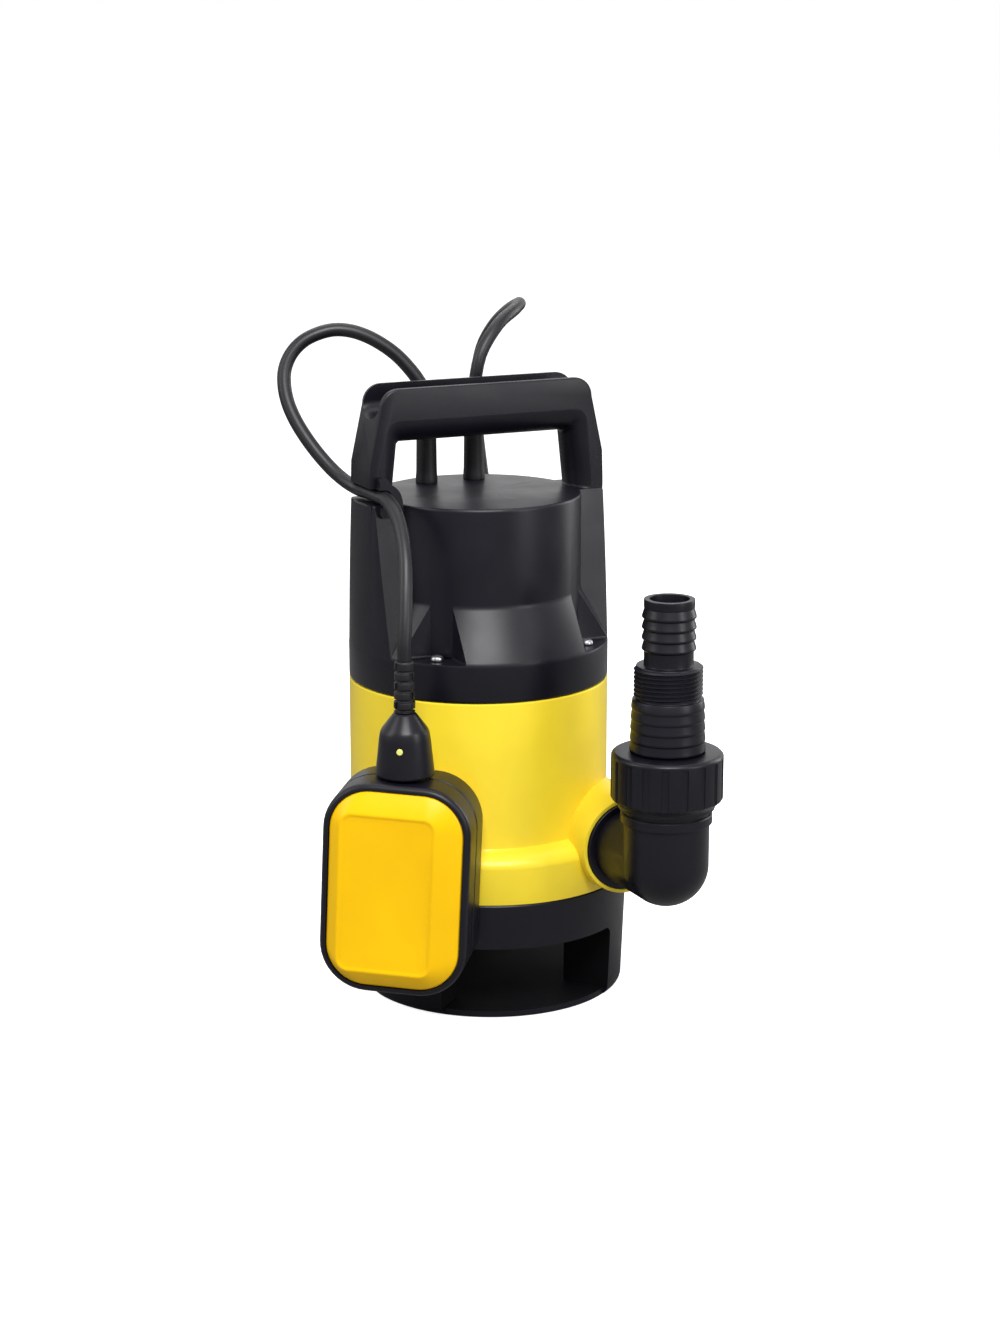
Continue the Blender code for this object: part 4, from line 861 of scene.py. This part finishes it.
screw_places = [(SCREWS_R * math.cos(math.radians(a)), SCREWS_R * math.sin(math.radians(a)))
                for a in (45, 135, 225, 315)]
cover_mesh = shaped(
    "cover", cap_mesh, *[("DIFFERENCE", pocket) for pocket in pockets],
    ("UNION", handle), ("UNION", wings),
    ("DIFFERENCE", finish_mesh("hollow", spun(hollow_line, 200))),
    ("DIFFERENCE", finish_mesh("lines", sink_lines)),
    ("DIFFERENCE", drills(5.9 * mm, bush_places, 255 * mm, 275 * mm, 48)),
    ("DIFFERENCE", drills(SCREW_HOLE_R, screw_places, 160 * mm, 195 * mm)),
    material=black_moulding, sharp=28,
)
link_piece("cover", cover_mesh, "pump", "top_cover")


# Cable bushes: soft PVC boots in the cap behind the handle, one for each lead. Each tapers upwards and
# is held by a flange below the cap's wall.
bush_line = in_mm(
    (0, 308), (4.7, 308), (5.2, 306), (5.6, 275), (5.9, 270.6), (5.9, 268.8), (5.6, 268.8),
    (5.6, 264.2), (6.8, 264.2), (6.8, 258), (0, 258),
)
for name, x, node in (
    ("float_lead_boot", -BUSH_ASIDE, "float_cable_sleeve"),
    ("mains_lead_boot", BUSH_ASIDE, "mains_cable_sleeve"),
):
    boot_bm = spun(soft_corners(bush_line, 0.7 * mm), 64)
    bmesh.ops.translate(boot_bm, verts=boot_bm.verts, vec=(x, BUSH_BACK, 0))
    link_piece(name, finish_mesh(name, boot_bm, soft_pvc), "pump", node)


# Cover screws: zinc plated steel, with pan heads and a cross recess. One in each pocket holds the
# cover down on the housing, and each stopped at its own angle.
head_line = in_mm((0, 193), (1.9, 192.9), (3.1, 192.2), (3.4, 191.2), (3.4, 190.3), (2, 190.3))
head_line += in_mm((2, 152), (0, 152))
for number, (x, y) in enumerate(screw_places):
    screw_bm = spun(soft_corners(head_line, 0.4 * mm), 48)
    bmesh.ops.translate(screw_bm, verts=screw_bm.verts, vec=(x, y, 0))
    cross = []
    for turn in (25 + 17 * number, 115 + 17 * number):
        cross_bm = bmesh.new()
        place = Matrix.Translation((x, y, 192.6 * mm)) @ Matrix.Rotation(math.radians(turn), 4, "Z")
        add_block(cross_bm, place, 3.6 * mm, 0.75 * mm, 2.2 * mm)
        cross.append(("DIFFERENCE", finish_mesh("cross", cross_bm)))
    name = f"cover_fixing_{number + 1}"
    screw_mesh = shaped(name, finish_mesh(name, screw_bm), *cross, material=steel)
    link_piece(name, screw_mesh, "pump", f"cover_screw_{number + 1}")


# Discharge elbow: black polypropylene. Its flanged spigot turns in the outlet boss on an O-ring, its
# corner is round like a ball, and its upper end carries the union nut.
PIPE_R = 22 * mm
PIPE_BORE = 17 * mm
PIPE_Y = -125.5 * mm
PIPE_TOP = 131 * mm
KNEE = 92.4 * mm
SPIGOT_R = 20 * mm
SPIGOT_BORE = 14.5 * mm
FLANGE_R = 23.6 * mm
level = Vector((OUTLET.x, PIPE_Y, OUTLET.z))
top_place = Vector((OUTLET.x, PIPE_Y, 0))
groove_bm = spun(in_mm((26, 70.4), (26, 66.6), (17.7, 66.6), (17.7, 70.4)), 96, closed=True)
bmesh.ops.transform(groove_bm, matrix=to_outlet, verts=groove_bm.verts)
pipe_line = [(0, KNEE - PIPE_R), *quarter((0, KNEE), PIPE_R, -math.pi / 2, 24)[1:], (PIPE_R, 115 * mm)]
pipe_line += in_mm((23, 115), (23.4, 115.4), (23.4, 119.6), (23, 120)) + [(PIPE_R, 120 * mm)]
pipe_line += [(PIPE_R, PIPE_TOP), (0, PIPE_TOP)]
bore_line = [(0, OUTLET.z - PIPE_BORE), *quarter((0, OUTLET.z), PIPE_BORE, -math.pi / 2, 16)[1:]]
bore_line += [(PIPE_BORE, PIPE_TOP + 4 * mm), (0, PIPE_TOP + 4 * mm)]
pipe_bm = spun(pipe_line, 128)
bore_bm = spun(bore_line, 100)
for bm in (pipe_bm, bore_bm):
    bmesh.ops.translate(bm, verts=bm.verts, vec=top_place)
elbow_mesh = shaped(
    "elbow", finish_mesh("pipe", pipe_bm),
    ("UNION", rod(SPIGOT_R, out_by(62.4), level, 116)),
    ("UNION", rod(FLANGE_R, out_by(80.3), out_by(85.2), 104, 0.9 * mm)),
    ("DIFFERENCE", finish_mesh("bore", bore_bm)),
    ("DIFFERENCE", rod(SPIGOT_BORE, out_by(55), level, 90)),
    ("DIFFERENCE", finish_mesh("groove", groove_bm)),
    material=black_moulding,
)
link_piece("elbow", elbow_mesh, "elbow", "discharge_elbow")


# Union nut: black polypropylene, with eighteen ribs for the hand. It clamps the adapter's flange and
# its gasket down on the elbow.
NUT_R = 28.6 * mm
NUT_GROOVES = 18
nut_line = in_mm(
    (27.2, 152), (28.6, 150.6), (28.6, 128), (24.6, 124.5), (24.6, 122.5), (22.4, 122.5),
    (22.4, 147), (18.8, 147), (18.8, 152),
)
nut_bm = spun(soft_corners(nut_line, 0.7 * mm, closed=True), 144, closed=True)
grooves_bm = bmesh.new()
for i in range(NUT_GROOVES):
    turn = Matrix.Rotation(2 * math.pi * i / NUT_GROOVES, 4, "Z")
    place = turn @ Matrix.Translation((NUT_R + 2.2 * mm, 0, 137.2 * mm))
    add_block(grooves_bm, place, 6 * mm, 3.6 * mm, 24.4 * mm)
bmesh.ops.bevel(grooves_bm, geom=grooves_bm.edges[:], offset=0.6 * mm, segments=3, profile=0.5,
                affect="EDGES", material=-1)
nut_mesh = shaped(
    "nut", finish_mesh("nut", nut_bm), ("DIFFERENCE", finish_mesh("grooves", grooves_bm)),
    material=black_moulding,
)
nut_mesh.transform(Matrix.Translation(top_place))
link_piece("nut", nut_mesh, "nut", "union_nut")


# Hose adapter: black polypropylene, stepped for two sizes of hose, with a pipe thread between the two
# barbed lengths. It is cut off at the size that the hose needs.
BARB_PITCH = 5.45 * mm
THREAD_START = 179.6
THREAD_PITCH = 2.2 * mm
THREAD_TURNS = 7
THREAD_STEPS = 64


def barb_line(top, pitch, count, neck, crest, spread=0.0):
    """Hose barbs from the top down: each slopes out to its crest, then steps back in."""
    points = []
    for i in range(count):
        high = top - pitch * i
        points.append((neck + spread * i, high))
        points.append((crest + spread * i, high - pitch * 0.72))
        points.append((crest + spread * i, high - pitch * 0.86))
    return points


adapter_line = in_mm((12.9, 231), (12.9, 226.8), (12.6, 226.5))
adapter_line += barb_line(226.4 * mm, BARB_PITCH, 4, 12.6 * mm, 13.8 * mm)
adapter_line += in_mm((12.6, 204.5), (12.6, 197.1), (16.3, 197), (16.5, 196.6), (16.5, 179.8))
adapter_line += barb_line(179.7 * mm, BARB_PITCH, 5, 18.1 * mm, 18.7 * mm, 0.17 * mm)
adapter_line += in_mm((18.2, 152.2), (18.2, 138), (22.1, 138), (22.1, 134.3))
adapter_line += in_mm((15, 134.3), (14.4, 175), (10.4, 199), (10.1, 231))
adapter_bm = spun(soft_corners(adapter_line, 0.3 * mm, closed=True, steps=3), 96, closed=True)
thread_bm = bmesh.new()
corner = [thread_bm.verts.new((r * mm, 0, (THREAD_START + z) * mm)) for r, z in (
    (16.3, 0.0), (16.3, 2.1), (17.6, 1.15), (17.6, 0.95))]
tooth = thread_bm.faces.new(corner)
bmesh.ops.spin(
    thread_bm, geom=[*corner, *tooth.edges, tooth], cent=(0, 0, 0), axis=(0, 0, 1),
    dvec=(0, 0, THREAD_PITCH / THREAD_STEPS), angle=2 * math.pi * THREAD_TURNS,
    steps=THREAD_STEPS * THREAD_TURNS,
)
adapter_mesh = shaped(
    "adapter", finish_mesh("adapter", adapter_bm), ("UNION", finish_mesh("thread", thread_bm)),
    material=black_moulding, sharp=40,
)
adapter_mesh.transform(Matrix.Translation(top_place))
link_piece("adapter", adapter_mesh, "nut", "hose_adapter")


# Float switch: two yellow trays snapped into a black rim, with a steel ball and a switch inside. A
# moulded bell seals the lead into its upper edge, and a ribbed boot eases the lead's bend.
FLOAT_AT = Vector((-72, -67.8, 81)) * mm
FLOAT_TURN = math.radians(-35)
FLOAT_LEAN = math.radians(2.5)
FLOAT_WIDE = 76.5 * mm
FLOAT_TALL = 111 * mm
FLOAT_HALF = 19 * mm
FLOAT_RIM = 3.4 * mm
FLOAT_CORNER = 25 * mm
FLOAT_TOP = 57 * mm
EDGE_IN = 2.6 * mm
EDGE_DEEP = 3.4 * mm
PANEL_ASIDE = 3.6 * mm
PANEL_DOWN = 1.3 * mm
float_place = Matrix.Translation(FLOAT_AT) @ Matrix.Rotation(FLOAT_TURN, 4, "Z")
float_place = float_place @ Matrix.Translation((0, 0, FLOAT_TOP)) @ Matrix.Rotation(FLOAT_LEAN, 4, "Y")
float_place = float_place @ Matrix.Translation((0, 0, -FLOAT_TALL / 2))


def rounded_ring(wide, tall, corner, y, aside=0.0, down=0.0, steps=12):
    """A rounded rectangle that stands facing the front; its centre may be set aside and down."""
    points = []
    for turn, (sx, sz) in enumerate(((1, 1), (-1, 1), (-1, -1), (1, -1))):
        for step in range(steps + 1):
            angle = (turn + step / steps) * math.pi / 2
            points.append((
                sx * (wide / 2 - corner) + corner * math.cos(angle) - aside, y,
                sz * (tall / 2 - corner) + corner * math.sin(angle) - down,
            ))
    return points


def ring_in(inset, y):
    """The float's outline at depth y, drawn in all round."""
    return rounded_ring(FLOAT_WIDE - 2 * inset, FLOAT_TALL - 2 * inset, FLOAT_CORNER - inset, y)


edge_run = []
for step in range(7):
    angle = math.pi / 2 * step / 6
    edge_run.append((EDGE_IN * (1 - math.sin(angle)), FLOAT_HALF - EDGE_DEEP * (1 - math.cos(angle))))
case_run = [(inset, -y) for inset, y in edge_run] + [(0.0, -1.2 * mm), (0.5 * mm, -0.7 * mm)]
case_run += [(0.5 * mm, 0.7 * mm), (0.0, 1.2 * mm)] + [(inset, y) for inset, y in reversed(edge_run)]
case_bm = lofted([ring_in(inset, y) for inset, y in case_run])
hollow_bm = lofted([ring_in(FLOAT_RIM, y) for y in (-FLOAT_HALF - 2 * mm, FLOAT_HALF + 2 * mm)])
for bm in (case_bm, hollow_bm):
    bmesh.ops.transform(bm, matrix=float_place, verts=bm.verts)
case_mesh = shaped(
    "float_rim", finish_mesh("float_rim", case_bm),
    ("DIFFERENCE", finish_mesh("hollow", hollow_bm)),
    ("DIFFERENCE", rod(7.3 * mm, FLOAT_AT + Vector((0, 0, 45 * mm)), FLOAT_AT + Vector((0, 0, 70 * mm)))),
    material=black_moulding,
)
link_piece("float_rim", case_mesh, "float", "float_case")

# Smooth ABS: a deeper, warmer yellow than the housing's, with a small, weak highlight.
float_yellow = moulded("glossy yellow ABS", "#E6B404", 0.32, 1.1 * mm, 0.02 * mm, 0.03, 0.16)
for name, node, side, lift in (
    ("float_front_tray", "float_front_cover", -1, 4.4 * mm),
    ("float_back_tray", "float_back_cover", 1, 1.2 * mm),
):
    edge = FLOAT_RIM + GAP
    steps = [(edge, -9 * mm), (edge, -1.4 * mm), (edge + 0.4 * mm, -0.4 * mm), (edge + 1.3 * mm, 0.06 * lift)]
    steps += [(inset * mm, share * lift) for inset, share in (
        (12.9, 0.92), (13.6, 0.99), (14.3, 1), (15.1, 0.9), (15.9, 0.86))]
    sections = []
    for inset, rise in steps:
        share = min(1, max(0, (inset - edge - 1.3 * mm) / (8 * mm)))
        corner = max(5 * mm, FLOAT_CORNER - edge - (inset - edge) * 1.5)
        sections.append(rounded_ring(
            FLOAT_WIDE - 2 * inset, FLOAT_TALL - 2 * inset, corner, side * (FLOAT_HALF + rise),
            PANEL_ASIDE * share, PANEL_DOWN * share,
        ))
    tray_bm = lofted(sections)
    bmesh.ops.transform(tray_bm, matrix=float_place, verts=tray_bm.verts)
    link_piece(name, finish_mesh(name, tray_bm, float_yellow, 40), "float", node)

bell_line = in_mm((0, 91), (5.4, 91), (12.2, 82), (13, 78.5), (15.2, 58.1), (7, 57.8), (7, 50), (0, 50))
bell_bm = spun(soft_corners(bell_line, 1.6 * mm), 96)
bmesh.ops.translate(bell_bm, verts=bell_bm.verts, vec=FLOAT_AT)
link_piece("float_bell", finish_mesh("float_bell", bell_bm, black_moulding), "float", "float_neck")
# Unpigmented polymer: the pale, slightly green plug that closes the bell's filling hole.
pale_plug = moulded("pale moulded polymer", "#D3D673", 0.4, 0.5 * mm, 0.02 * mm, 0.03)
facing = from_viewer(-0.16, -1, 0)
plug_middle = FLOAT_AT + Vector((0, 0, 73.5 * mm))
dot_mesh = rod(1.6 * mm, plug_middle + facing * 12.4 * mm, plug_middle + facing * 14.2 * mm, 32, 0.4 * mm)
dot_mesh.materials.append(pale_plug)
link_piece("bell_plug", dot_mesh, "float")

BOOT_RIBS = 5
BOOT_PITCH = 5.0
boot_line = in_mm((0, 117.5), (4.6, 117.5))
for rib in range(BOOT_RIBS):
    top = 116.5 - BOOT_PITCH * rib
    crest = 5.0 + 0.12 * rib
    boot_line += in_mm((crest, top), (crest, top - 3.3), (4.3, top - 3.7), (4.3, top - 4.7))
boot_line += in_mm((5.4, 91.6), (5.4, 91.3), (0, 91.3))
boot_bm = spun(soft_corners(boot_line, 0.3 * mm, steps=3), 64)
bmesh.ops.translate(boot_bm, verts=boot_bm.verts, vec=FLOAT_AT)
slots = []
for rib in range(BOOT_RIBS):
    for side in (-1, 1):
        slot_bm = bmesh.new()
        turn = Matrix.Rotation(math.radians(90 * (rib % 2) + 20), 4, "Z")
        place = Matrix.Translation(FLOAT_AT + Vector((0, 0, (114.8 - BOOT_PITCH * rib) * mm))) @ turn
        place = place @ Matrix.Translation((side * 5.6 * mm, 0, 0))
        add_block(slot_bm, place, 2.4 * mm, 2.6 * mm, 4.1 * mm)
        slots.append(("DIFFERENCE", finish_mesh("slot", slot_bm)))
boot_mesh = shaped("float_boot", finish_mesh("float_boot", boot_bm), *slots, material=soft_pvc)
link_piece("float_boot", boot_mesh, "float", "float_strain_relief")
